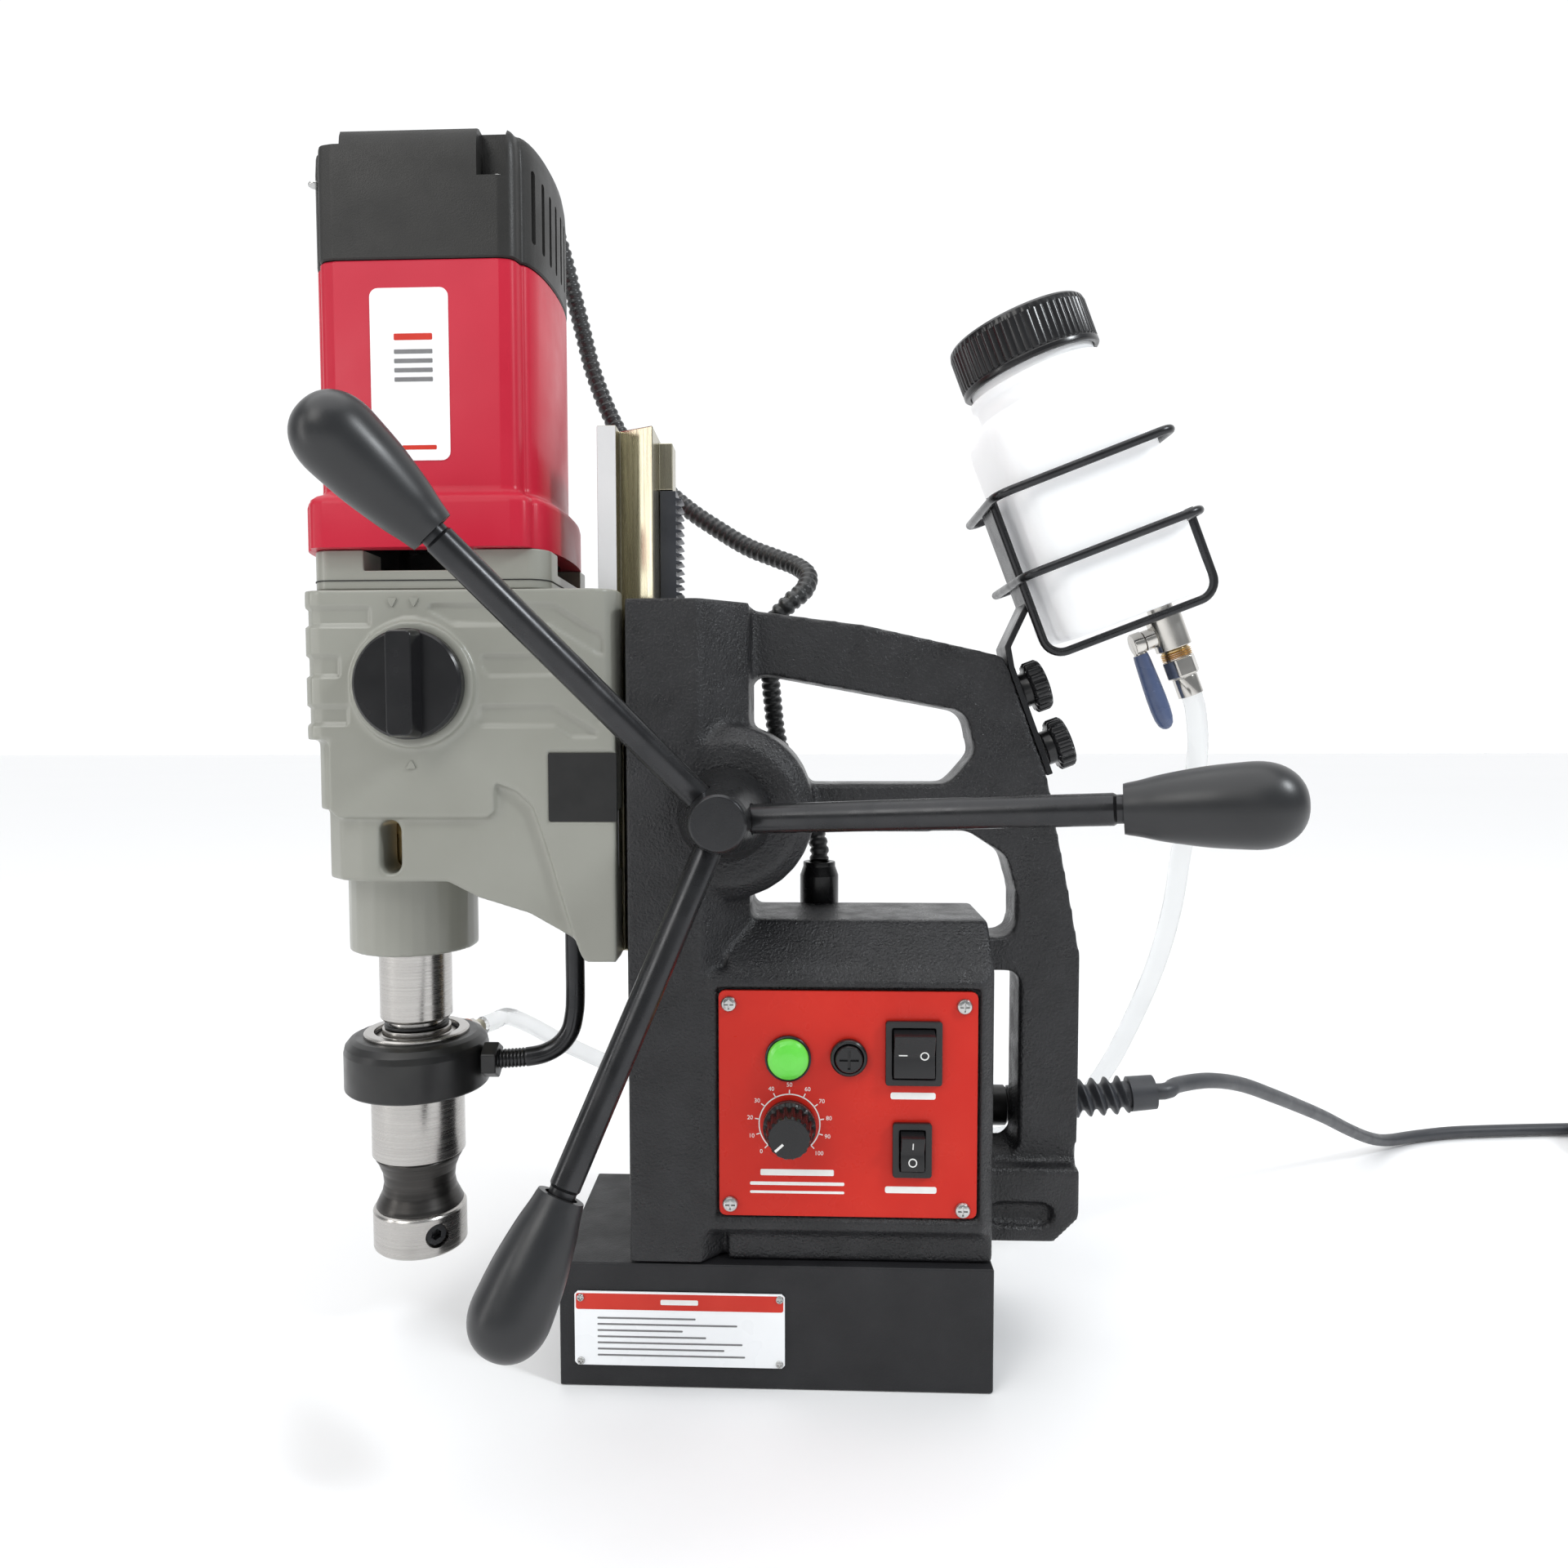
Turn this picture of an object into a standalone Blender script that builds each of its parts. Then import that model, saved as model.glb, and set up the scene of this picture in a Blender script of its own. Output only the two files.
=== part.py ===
"""Magnetic drill press: an electromagnet foot, a cast stand with its control box and carrying frame,
a rack-fed carriage with gearbox and motor, a three-spoke capstan, and a coolant bottle.

Lengths are in millimetres and become metres when a mesh is made. The origin is the middle of the
magnet's bottom face, +X points from the column to the carrying frame, the operator stands at -Y.
"""

import math

import bmesh
import bpy
from mathutils import Matrix, Vector

MM = 0.001
GAP = 0.3  # between pieces that touch
BITE = 1.0  # how far a joined shape reaches into its neighbour

# Magnet foot
BASE_HALF_X, BASE_HALF_Y, BASE_TOP = 83.5, 42.0, 48.7
COIL_SLOT_OUTER = (70.0, 30.0)
COIL_SLOT_INNER = (54.0, 14.0)
COIL_SLOT_DEPTH = 32.0

# Stand casting
CAST_BOTTOM = BASE_TOP + GAP
COLUMN_LEFT, COLUMN_RIGHT, COLUMN_TOP = -56.0, -10.0, 303.2
COLUMN_CHAMFER = 18.0
BOX_RIGHT, BOX_TOP = 83.5, 179.0
BOX_FRONT, BOX_BACK = -38.0, 41.0
HANDLE_HALF_Y = 12.0
LEG_FOOT_HALF_Y = 20.0

# Dovetail slide, measured across at its narrow and wide edges
PLATE_LEFT, PLATE_RIGHT, PLATE_HALF_Y = -68.5, -61.0, 26.0
TAIL_TIP_X, TAIL_NARROW, TAIL_WIDE = -47.0, 17.0, 25.0
SLIDE_BOTTOM, SLIDE_TOP = 165.3, 371.0
TAIL_PLAY = 0.5
GIB_THICKNESS = 3.8

# Rack and pinion
MODULE = 1.0
PINION_TEETH = 41
CAPSTAN_X, CAPSTAN_Z = -18.3, 222.5
RACK_PITCH_X = -39.0
RACK_LEFT = -46.7
RACK_HALF_Y = 6.0
RACK_BOTTOM, RACK_TOP = 145.0, 350.0
PINION_HALF_Y = 7.0

# Capstan
ROD_RADIUS = 5.2
ROD_ANGLES = (133.0, 3.1, -112.6)
ROD_SPLAY = math.radians(17.0)
ROD_ROOT_RADIUS, ROD_ROOT_Y = 14.5, -72.0
KNOB_START_RADIUS = 128.5

# Control panel
PANEL_LEFT, PANEL_RIGHT, PANEL_BOTTOM, PANEL_TOP = -21.3, 76.7, 68.0, 155.3
PANEL_FRONT, PANEL_BACK = -41.2, -39.2
LAMP_AT = (5.1, 129.6)
FUSE_AT = (28.0, 130.3)
DIAL_AT = (5.6, 103.9)
MOTOR_SWITCH = (41.8, 63.1, 119.8, 144.4)
MAGNET_SWITCH = (44.6, 59.4, 84.4, 105.4)
SWITCH_BORDER = 2.6
ROCKER_TILT = math.radians(9.0)

# Drive train
SPINDLE_X, ARMATURE_X = -152.3, -133.0
SPINDLE_TEETH, LAY_SMALL_TEETH, LAY_LARGE_TEETH, ARMATURE_TEETH = 32, 14, 30, 8
LOWER_MESH = (264.0, 278.0)
UPPER_MESH = (289.0, 300.0)

# Gearbox and motor
GEARBOX_FRONT, GEARBOX_RIGHT, GEARBOX_TOP = -42.0, -59.0, 307.0
NOSE_RADIUS, NOSE_BOTTOM = 26.0, 163.5
MOTOR_HALF_X, MOTOR_HALF_Y, MOTOR_BOTTOM, MOTOR_TOP = 45.0, 40.0, 322.4, 428.7
MOTOR_FLAT_HALF = 35.0
SKIRT_TOP, SKIRT_GROWTH = 342.5, 4.5
CAP_TOP = 476.5
SELECTOR_AT = (-136.0, 271.3)

# Coolant bottle, in its own leaning frame
BOTTLE_ORIGIN = Vector((137.3, 0.0, 294.4))
ALONG_U = Vector((0.9348, 0.0, 0.3551))
ALONG_V = Vector((-0.3551, 0.0, 0.9348))
BOTTLE_U, BOTTLE_HALF, BOTTLE_WALL = 3.5, 29.5, 2.2
BOTTLE_FLOOR, BOTTLE_SHOULDER, NECK_TOP = 2.0, 93.0, 121.0
NECK_RADIUS = 25.0
WIRE_RADIUS = 1.7
VALVE_U = 19.0

# Cords and hoses
CORD_DIAMETER, CONDUIT_DIAMETER, HOSE_DIAMETER = 7.0, 8.5, 8.0
COIL_X, COIL_Y, COIL_MEAN = 526.0, 190.0, 40.0
COIL_HALF_WIDTH, COIL_HEIGHT = 12.0, 20.8

BLACK_PAINT = ((0.015, 0.015, 0.016), 0.5, 0.2)
GREY_PAINT = ((0.62, 0.62, 0.57), 0.42, 0.1)
RED_PAINT = ((0.70, 0.03, 0.06), 0.35, 0.0)
STEEL = ((0.62, 0.61, 0.59), 0.28, 1.0)
BRASS = ((0.70, 0.52, 0.25), 0.30, 1.0)
BLACK_STEEL = ((0.02, 0.02, 0.022), 0.38, 0.6)
BLACK_PLASTIC = ((0.02, 0.02, 0.021), 0.35, 0.0)
COPPER = ((0.72, 0.32, 0.16), 0.35, 1.0)
RED_PLASTIC = ((0.78, 0.05, 0.04), 0.35, 0.0)
GREEN_LENS = ((0.03, 0.55, 0.12), 0.12, 0.0)
WHITE_PLASTIC = ((0.86, 0.87, 0.88), 0.4, 0.0)
CLEAR_HOSE = ((0.80, 0.82, 0.82), 0.25, 0.0)
BLUE_VINYL = ((0.07, 0.10, 0.22), 0.35, 0.0)
BOARD_GREEN = ((0.03, 0.20, 0.08), 0.5, 0.0)


# ---------------------------------------------------------------- shapes


def faced_out(bm):
    bmesh.ops.recalc_face_normals(bm, faces=bm.faces)
    return bm


def loft(rings, closed=False):
    """A skin over rings of equal length; its ends are capped, or joined to each other when closed."""
    bm = bmesh.new()
    made = [[bm.verts.new(point) for point in ring] for ring in rings]
    pairs = list(zip(made, made[1:]))
    if closed:
        pairs.append((made[-1], made[0]))
    else:
        bm.faces.new(made[0])
        bm.faces.new(made[-1])
    for lower, upper in pairs:
        for i in range(len(lower)):
            j = (i + 1) % len(lower)
            bm.faces.new((lower[i], lower[j], upper[j], upper[i]))
    return faced_out(bm)


PLACE = {
    "X": lambda a, b, h: Vector((h, a, b)),
    "Y": lambda a, b, h: Vector((a, h, b)),
    "Z": lambda a, b, h: Vector((a, b, h)),
}


def prism(outline, low, high, axis="Z"):
    """An outline extruded along an axis: (x, y) along Z, (x, z) along Y, (y, z) along X."""
    place = PLACE[axis]
    return loft([[place(a, b, h) for a, b in outline] for h in (low, high)])


def box(x, y, z):
    return prism([(x[0], y[0]), (x[1], y[0]), (x[1], y[1]), (x[0], y[1])], z[0], z[1])


def rounded(corners, radii, steps=3):
    """The outline through these corners, each rounded to its radius by an arc of a few steps."""
    count = len(corners)
    if not isinstance(radii, (list, tuple)):
        radii = [radii] * count
    outline = []
    for i, radius in enumerate(radii):
        here = Vector(corners[i])
        if radius == 0:
            outline.append(tuple(here))
            continue
        back = (Vector(corners[i - 1]) - here).normalized()
        ahead = (Vector(corners[(i + 1) % count]) - here).normalized()
        half = back.angle(ahead) / 2
        middle = here + (back + ahead).normalized() * radius / math.sin(half)
        start = here + back * radius / math.tan(half) - middle
        end = here + ahead * radius / math.tan(half) - middle
        turn = start.angle_signed(end)
        for step in range(steps + 1):
            angle = -turn * step / steps
            outline.append(
                (
                    middle.x + start.x * math.cos(angle) - start.y * math.sin(angle),
                    middle.y + start.x * math.sin(angle) + start.y * math.cos(angle),
                )
            )
    return outline


def rectangle(left, right, bottom, top, radius=0.0, steps=3):
    corners = [(left, bottom), (right, bottom), (right, top), (left, top)]
    return rounded(corners, radius, steps)


def racetrack(half_long, half_wide, steps=8):
    """A long hole's outline with round ends, along X."""
    reach = half_long - half_wide
    outline = []
    for side in (1, -1):
        for step in range(steps + 1):
            angle = math.pi * step / steps - math.pi / 2
            outline.append(
                (side * (reach + half_wide * math.cos(angle)), side * half_wide * math.sin(angle))
            )
    return outline


def ring_prism(outer, inner, low, high):
    """A prism with a hole through it; the two outlines have equally many points."""
    levels = ((outer, low), (outer, high), (inner, high), (inner, low))
    return loft([[Vector((a, b, h)) for a, b in line] for line, h in levels], closed=True)


def moved(bm, origin, direction):
    """Turns a shape's +Z to the direction and its zero to the origin."""
    turn = Vector((0, 0, 1)).rotation_difference(Vector(direction).normalized())
    bm.transform(Matrix.Translation(Vector(origin)) @ turn.to_matrix().to_4x4())
    return bm


def turned(profile, origin=(0, 0, 0), direction=(0, 0, 1), sides=20, hollow=False):
    """A (radius, height) profile turned about a line. It starts and ends on the line unless hollow."""
    bm = bmesh.new()
    rings = []
    for radius, height in profile:
        if radius == 0:
            rings.append([bm.verts.new((0, 0, height))])
            continue
        angles = [2 * math.pi * (i + 0.5) / sides for i in range(sides)]
        rings.append(
            [bm.verts.new((radius * math.cos(a), radius * math.sin(a), height)) for a in angles]
        )
    pairs = list(zip(rings, rings[1:]))
    if hollow:
        pairs.append((rings[-1], rings[0]))
    for first, second in pairs:
        for i in range(sides):
            j = (i + 1) % sides
            corners = [first[i % len(first)], first[j % len(first)]]
            corners += [second[j % len(second)], second[i % len(second)]]
            bm.faces.new(list(dict.fromkeys(corners)))
    return moved(faced_out(bm), origin, direction)


def rod(radius, low, high, origin=(0, 0, 0), direction=(0, 0, 1), sides=20):
    return turned([(0, low), (radius, low), (radius, high), (0, high)], origin, direction, sides)


def swept(path, radius, normal, sides=8, closed=False):
    """A round bar along a path that stays nearly in the plane across the normal."""
    normal = Vector(normal).normalized()
    points = [Vector(p) for p in path]
    rings = []
    for i, point in enumerate(points):
        before = points[i - 1] if closed or i else point
        after = points[(i + 1) % len(points)] if closed or i + 1 < len(points) else point
        side = (after - before).normalized().cross(normal).normalized()
        angles = [2 * math.pi * (k + 0.5) / sides for k in range(sides)]
        rings.append(
            [point + side * radius * math.cos(a) + normal * radius * math.sin(a) for a in angles]
        )
    return loft(rings, closed)


def strap(path, thickness, half_y):
    """A flat strip bent along an (x, z) path."""
    points = [Vector(p) for p in path]
    sides = ([], [])
    for i, point in enumerate(points):
        before = (point - points[i - 1]).normalized() if i else None
        after = (points[i + 1] - point).normalized() if i + 1 < len(points) else None
        onward = after or before
        along = ((before or after) + onward).normalized()
        across = Vector((-along.y, along.x))
        spread = thickness / 2 / max(0.5, across.dot(Vector((-onward.y, onward.x))))
        for side, sign in zip(sides, (1, -1)):
            side.append(tuple(point + across * spread * sign))
    return prism(sides[0] + sides[1][::-1], -half_y, half_y, "Y")


def toothed(teeth, toward, has_tooth, low, high, centre, module=MODULE):
    """A spur gear about Z with a tooth, or a gap, pointing toward an angle. Teeth are slim for play."""
    pitch_radius = module * teeth / 2
    tip, root = pitch_radius + module, pitch_radius - 1.25 * module
    half_root, half_tip = 0.74 * module, 0.30 * module
    step = 2 * math.pi / teeth
    start = toward if has_tooth else toward + step / 2
    outline = []
    for k in range(teeth):
        middle = start + k * step
        for radius, half in ((root, -half_root), (tip, -half_tip), (tip, half_tip), (root, half_root)):
            angle = middle + half / radius
            outline.append((centre[0] + radius * math.cos(angle), centre[1] + radius * math.sin(angle)))
    return prism(outline, low, high)


def smooth_path(points, spacing):
    """Points at an even spacing on a smooth curve through the given ones."""
    given = [Vector(p) for p in points]
    given = [2 * given[0] - given[1]] + given + [2 * given[-1] - given[-2]]
    fine = []
    for a, b, c, d in zip(given, given[1:], given[2:], given[3:]):
        for step in range(24):
            t = step / 24
            fine.append(
                0.5
                * (
                    2 * b
                    + (c - a) * t
                    + (2 * a - 5 * b + 4 * c - d) * t**2
                    + (3 * b - 3 * c + d - a) * t**3
                )
            )
    fine.append(given[-2])
    lengths = [(q - p).length for p, q in zip(fine, fine[1:])]
    pieces = max(2, round(sum(lengths) / spacing))
    even, walked, index = [fine[0]], 0.0, 0
    for k in range(1, pieces):
        target = sum(lengths) * k / pieces
        while walked + lengths[index] < target:
            walked += lengths[index]
            index += 1
        even.append(fine[index].lerp(fine[index + 1], (target - walked) / lengths[index]))
    return even + [fine[-1]]


# ---------------------------------------------------------------- objects


def material(name, look):
    colour, roughness, metallic = look
    made = bpy.data.materials.new(name)
    made.use_nodes = True
    shader = made.node_tree.nodes["Principled BSDF"]
    shader.inputs["Base Color"].default_value = (*colour, 1.0)
    shader.inputs["Roughness"].default_value = roughness
    shader.inputs["Metallic"].default_value = metallic
    return made


def mesh_object(name, bm):
    for vertex in bm.verts:
        vertex.co *= MM
    mesh = bpy.data.meshes.new(name)
    bm.to_mesh(mesh)
    bm.free()
    obj = bpy.data.objects.new(name, mesh)
    bpy.context.scene.collection.objects.link(obj)
    return obj


def axis_empty(name, x, y, z):
    empty = bpy.data.objects.new(name, None)
    empty.location = (x * MM, y * MM, z * MM)
    empty.empty_display_size = 0.02
    bpy.context.scene.collection.objects.link(empty)
    return empty


def helper(name, bm):
    obj = mesh_object(name, bm)
    obj.hide_render = True
    obj.display_type = "WIRE"
    return obj


def piece(name, bm, look, on=None, steps=()):
    """One sub-part. Its steps are (UNION or DIFFERENCE, shape) pairs, done in turn."""
    pivot = Vector(on.location) / MM if on else Vector()
    for vertex in bm.verts:
        vertex.co -= pivot
    obj = mesh_object(name, bm)
    obj.data.materials.append(material(name, look))
    if on:
        obj.parent = on
    for count, (operation, shape) in enumerate(steps):
        boolean = obj.modifiers.new(f"{operation.lower()}_{count}", "BOOLEAN")
        boolean.operation = operation
        boolean.object = helper(f"{name}_shape_{count}", shape)
    obj.data.shade_smooth()
    obj.data.set_sharp_from_angle(angle=math.radians(35))
    return obj


def add(*shapes):
    return [("UNION", shape) for shape in shapes]


def cut(*shapes):
    return [("DIFFERENCE", shape) for shape in shapes]


def cord(name, points, diameter, look, spacing):
    data = bpy.data.curves.new(name, "CURVE")
    data.dimensions = "3D"
    data.bevel_depth = diameter / 2 * MM
    data.bevel_resolution = 2
    data.use_fill_caps = True
    path = smooth_path(points, spacing * diameter)
    spline = data.splines.new("POLY")
    spline.points.add(len(path) - 1)
    for knot, point in zip(spline.points, path):
        knot.co = (*(point * MM), 1.0)
    obj = bpy.data.objects.new(name, data)
    obj.data.materials.append(material(name, look))
    bpy.context.scene.collection.objects.link(obj)
    return obj


# ---------------------------------------------------------------- stand


def tail_y(x, narrow=TAIL_NARROW, wide=TAIL_WIDE):
    """Half the dovetail's width at this x."""
    return narrow + (wide - narrow) * (x - PLATE_RIGHT) / (TAIL_TIP_X - PLATE_RIGHT)


def magnet_foot():
    foot = box((-BASE_HALF_X, BASE_HALF_X), (-BASE_HALF_Y, BASE_HALF_Y), (0, BASE_TOP))
    slot = ring_prism(racetrack(*COIL_SLOT_OUTER), racetrack(*COIL_SLOT_INNER), -BITE, COIL_SLOT_DEPTH)
    piece("magnet_base", foot, BLACK_PAINT, steps=cut(slot))
    outer = racetrack(COIL_SLOT_OUTER[0] - 1.5, COIL_SLOT_OUTER[1] - 1.5)
    inner = racetrack(COIL_SLOT_INNER[0] + 1.5, COIL_SLOT_INNER[1] + 1.5)
    piece("magnet_coil", ring_prism(outer, inner, 5.0, COIL_SLOT_DEPTH - 1.5), COPPER)
    outer = racetrack(COIL_SLOT_OUTER[0] - GAP, COIL_SLOT_OUTER[1] - GAP)
    inner = racetrack(COIL_SLOT_INNER[0] + GAP, COIL_SLOT_INNER[1] + GAP)
    piece("magnet_potting", ring_prism(outer, inner, 0.4, 4.6), BLACK_PLASTIC)


def handle_frame():
    """The carrying frame's side view: sloped top rail, leaning grip and straight leg."""
    corners = [(-20, 303.0), (35.8, 295.4), (79.3, 285.5), (90.6, 282.6), (108.4, 234), (111.2, 219.3)]
    corners += [(117, 190.2), (122, 163), (122, 100), (120.4, 58.0), (112.0, 49.2), (70, 49.2)]
    corners += [(60, 120), (-20, 120)]
    radii = [0, 0, 0, 3, 0, 0, 0, 14, 0, 4, 4, 0, 0, 0]
    return prism(rounded(corners, radii, 2), -HANDLE_HALF_Y, HANDLE_HALF_Y, "Y")


def handle_windows():
    reach = HANDLE_HALF_Y + BITE
    upper = rounded(
        [(-10.5, 277.2), (75.6, 260.8), (79.3, 244.5), (69, 232.2), (-10.5, 232.2)], [6, 7, 4, 7, 0]
    )
    middle = rounded(
        [(-12, 212.5), (77, 213.1), (92, 203.2), (96, 189), (96.2, 170.2), (-12, 170.2)],
        [0, 8, 5, 8, 6, 0],
    )
    lower = rounded([(80, 82), (98, 82), (98, 156.5), (80, 156.5)], [0, 4, 4, 0])
    return [prism(outline, -reach, reach, "Y") for outline in (upper, middle, lower)]


def column():
    chamfer = COLUMN_CHAMFER
    outline = [(COLUMN_LEFT, -42), (COLUMN_RIGHT - chamfer, -42), (COLUMN_RIGHT, -42 + chamfer)]
    outline += [(x, -y) for x, y in reversed(outline)]
    return prism(outline, CAST_BOTTOM, COLUMN_TOP)


def control_box():
    section = [(BOX_FRONT, CAST_BOTTOM), (BOX_BACK, CAST_BOTTOM), (BOX_BACK, 161.0), (22.0, BOX_TOP)]
    section += [(-22.0, BOX_TOP), (BOX_FRONT, 163.8)]
    return prism(section, COLUMN_RIGHT - 8.0, BOX_RIGHT, "X")


def panel_plinth():
    front, back = rectangle(-26, 79, 63, 159), rectangle(-29, 82, 60, 162)
    levels = ((front, -42.0), (back, -39.0), (back, -30.0))
    return loft([[Vector((a, h, b)) for a, b in line] for line, h in levels])


def stand_casting():
    """Column, capstan boss, control box and carrying frame, cast as one piece."""
    boss_at = (CAPSTAN_X, 0, CAPSTAN_Z)
    boss = turned([(0, -30), (33.5, -30), (33.5, 35.3), (27.2, 41.6), (0, 41.6)], boss_at, (0, -1, 0), 32)
    foot_outline = [(82, 49.0), (111, 49.0), (121, 59.2), (121, 79.0), (82, 79.0)]
    leg_foot = prism(foot_outline, -LEG_FOOT_HALF_Y, LEG_FOOT_HALF_Y, "Y")
    slack = TAIL_PLAY
    groove = [
        (COLUMN_LEFT - BITE, -tail_y(COLUMN_LEFT - BITE) - slack),
        (-45.4, -tail_y(-45.4) - slack),
        (-45.4, tail_y(-45.4) + GIB_THICKNESS + 2 * slack),
        (COLUMN_LEFT - BITE, tail_y(COLUMN_LEFT - BITE) + GIB_THICKNESS + 2 * slack),
    ]
    pocket = rectangle(84.5, 111.0, 55.2, 64.8, 4.7)
    steps = cut(*handle_windows())
    steps += add(column(), boss, control_box(), panel_plinth(), leg_foot)
    steps += cut(
        turned([(0, -32), (8.3, -32), (8.3, -8), (22.5, -8), (22.5, 44), (0, 44)], boss_at, (0, -1, 0), 32),
        prism(groove, 100, COLUMN_TOP + BITE),
        box((-46.5, -37.0), (-7, 7), (100.5, COLUMN_TOP + 2 * BITE)),
        box((PANEL_LEFT - 0.5, PANEL_RIGHT + 0.5), (-43, -38.9), (PANEL_BOTTOM - 0.5, PANEL_TOP + 0.5)),
        box((-17, 75.5), (-40, 34), (72, 152)),
        rod(6.4, 70, 90, (0, 25, 89), (1, 0, 0)),
        rod(5.9, 148, 180, (18.2, 28, 0), (0, 0, 1)),
        rod(8.9, 172, 190, (18.2, 28, 0), (0, 0, 1)),
        prism(pocket, -21, -16, "Y"),
    )
    for x, z in ((99.0, 268.9), (108.6, 245.7)):
        steps += cut(rod(3.3, -12, 5, (x, 0, z), (0.938, 0, 0.346), 12))
    piece("stand_casting", handle_frame(), BLACK_PAINT, steps=steps)


def gib_and_bush():
    low_x, high_x = COLUMN_LEFT + 0.3, -46.0
    inner = [(x, tail_y(x) + TAIL_PLAY) for x in (low_x, high_x)]
    outer = [(x, y + GIB_THICKNESS) for x, y in reversed(inner)]
    piece("gib_strip", prism(inner + outer, 105, 300), BRASS)
    ring = [(12.3, 9), (22.2, 9), (22.2, 41), (12.3, 41)]
    bush = turned(ring, (CAPSTAN_X, 0, CAPSTAN_Z), (0, -1, 0), 32, hollow=True)
    piece("feed_bush", bush, BRASS)


def control_panel():
    outline = rectangle(PANEL_LEFT, PANEL_RIGHT, PANEL_BOTTOM, PANEL_TOP, 2.5)
    round_holes = ((6.0, LAMP_AT), (5.6, FUSE_AT), (3.6, DIAL_AT))
    holes = [rod(r, 38, 43, (x, 0, z), (0, -1, 0)) for r, (x, z) in round_holes]
    for left, right, bottom, top in (MOTOR_SWITCH, MAGNET_SWITCH):
        holes.append(box((left + 1.5, right - 1.5), (-43, -38), (bottom + 1.5, top - 1.5)))
    sheet = prism(outline, PANEL_FRONT, PANEL_BACK, "Y")
    piece("control_panel", sheet, RED_PLASTIC, steps=cut(*holes))


def panel_fittings():
    lamp, fuse, dial = [(x, 0, z) for x, z in (LAMP_AT, FUSE_AT, DIAL_AT)]
    bezel = [(0, 24), (5.6, 24), (5.6, 41.5), (8.75, 41.5), (8.75, 43.0), (8.3, 43.3), (8.3, 42.3)]
    bezel += [(0, 42.3)]
    piece("pilot_lamp_bezel", turned(bezel, lamp, (0, -1, 0)), BLACK_PLASTIC)
    lens = [(0, 42.6), (7.9, 42.6), (7.9, 43.6), (6.6, 45.4), (4.0, 46.5), (0, 46.9)]
    piece("pilot_lamp_lens", turned(lens, lamp, (0, -1, 0)), GREEN_LENS)
    holder = [(0, 20), (5.2, 20), (5.2, 41.5), (7.0, 41.5), (7.0, 44.0), (6.4, 44.6), (5.5, 44.6)]
    holder += [(5.5, 42.2), (0, 42.2)]
    piece("fuse_holder", turned(holder, fuse, (0, -1, 0)), BLACK_PLASTIC)
    axis = axis_empty("fuse_cap_axis", fuse[0], -42.5, fuse[2])
    cap = turned([(0, 42.5), (5.2, 42.5), (5.2, 45.4), (4.8, 46.0), (0, 46.0)], fuse, (0, -1, 0))
    cross = [
        box((fuse[0] - a, fuse[0] + a), (-47, -45.0), (fuse[2] - b, fuse[2] + b))
        for a, b in ((3.6, 0.5), (0.5, 3.6))
    ]
    piece("fuse_cap", cap, BLACK_PLASTIC, axis, cut(*cross))
    pot = [(0, 24), (8, 24), (8, 38.8), (3.2, 38.8), (3.2, 50), (0, 50)]
    piece("speed_potentiometer", turned(pot, dial, (0, -1, 0)), STEEL)
    axis = axis_empty("speed_knob_axis", dial[0], -42.0, dial[2])
    knob = [(0, 50.6), (3.6, 50.6), (3.6, 42.0), (9.2, 42.0), (10.0, 43.0), (10.0, 46.5), (8.6, 48.0)]
    knob += [(8.0, 55.6), (7.2, 56.6), (0, 56.6)]
    piece("speed_knob", turned(knob, dial, (0, -1, 0)), BLACK_PLASTIC, axis)
    piece("control_board", box((-12, 70), (8, 9.6), (76, 148)), BOARD_GREEN)


def rocker_switch(name, place, pressed):
    """A framed switch with its rocker: the frame's body passes through the panel."""
    left, right, bottom, top = place
    middle = (bottom + top) / 2
    reach = (top - bottom) / 2 - SWITCH_BORDER
    frame = prism(rectangle(left, right, bottom, top, 1.0, 1), -43.6, -41.5, "Y")
    neck = box((left + 1.9, right - 1.9), (-42.5, -22), (bottom + 1.9, top - 1.9))
    well = box((left + SWITCH_BORDER, right - SWITCH_BORDER), (-45, -32), (middle - reach, middle + reach))
    piece(f"{name}_switch_body", frame, BLACK_PLASTIC, steps=add(neck) + cut(well))
    axis = axis_empty(f"{name}_rocker_axis", 0, -42.5, middle)
    radius = reach - 0.35
    front = [(-4.1, radius * 0.90), (-2.2, 0), (-4.1, -radius * 0.90)]
    rear = [(1.0, -radius * 0.99), (5.5, -radius * 0.5), (5.5, radius * 0.5), (1.0, radius * 0.99)]
    lean = ROCKER_TILT * pressed
    section = []
    for y, z in front + rear:
        section.append(
            (-42.5 + y * math.cos(lean) - z * math.sin(lean), middle + y * math.sin(lean) + z * math.cos(lean))
        )
    inset = SWITCH_BORDER + 0.35
    piece(f"{name}_rocker", prism(section, left + inset, right - inset, "X"), BLACK_PLASTIC, axis)


def label_plate():
    outline = rectangle(-77.4, 3.8, 8.8, 37.9, 1.2, 1)
    piece("label_plate", prism(outline, -43.2, -42.3, "Y"), STEEL)


# ---------------------------------------------------------------- mains lead


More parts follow.
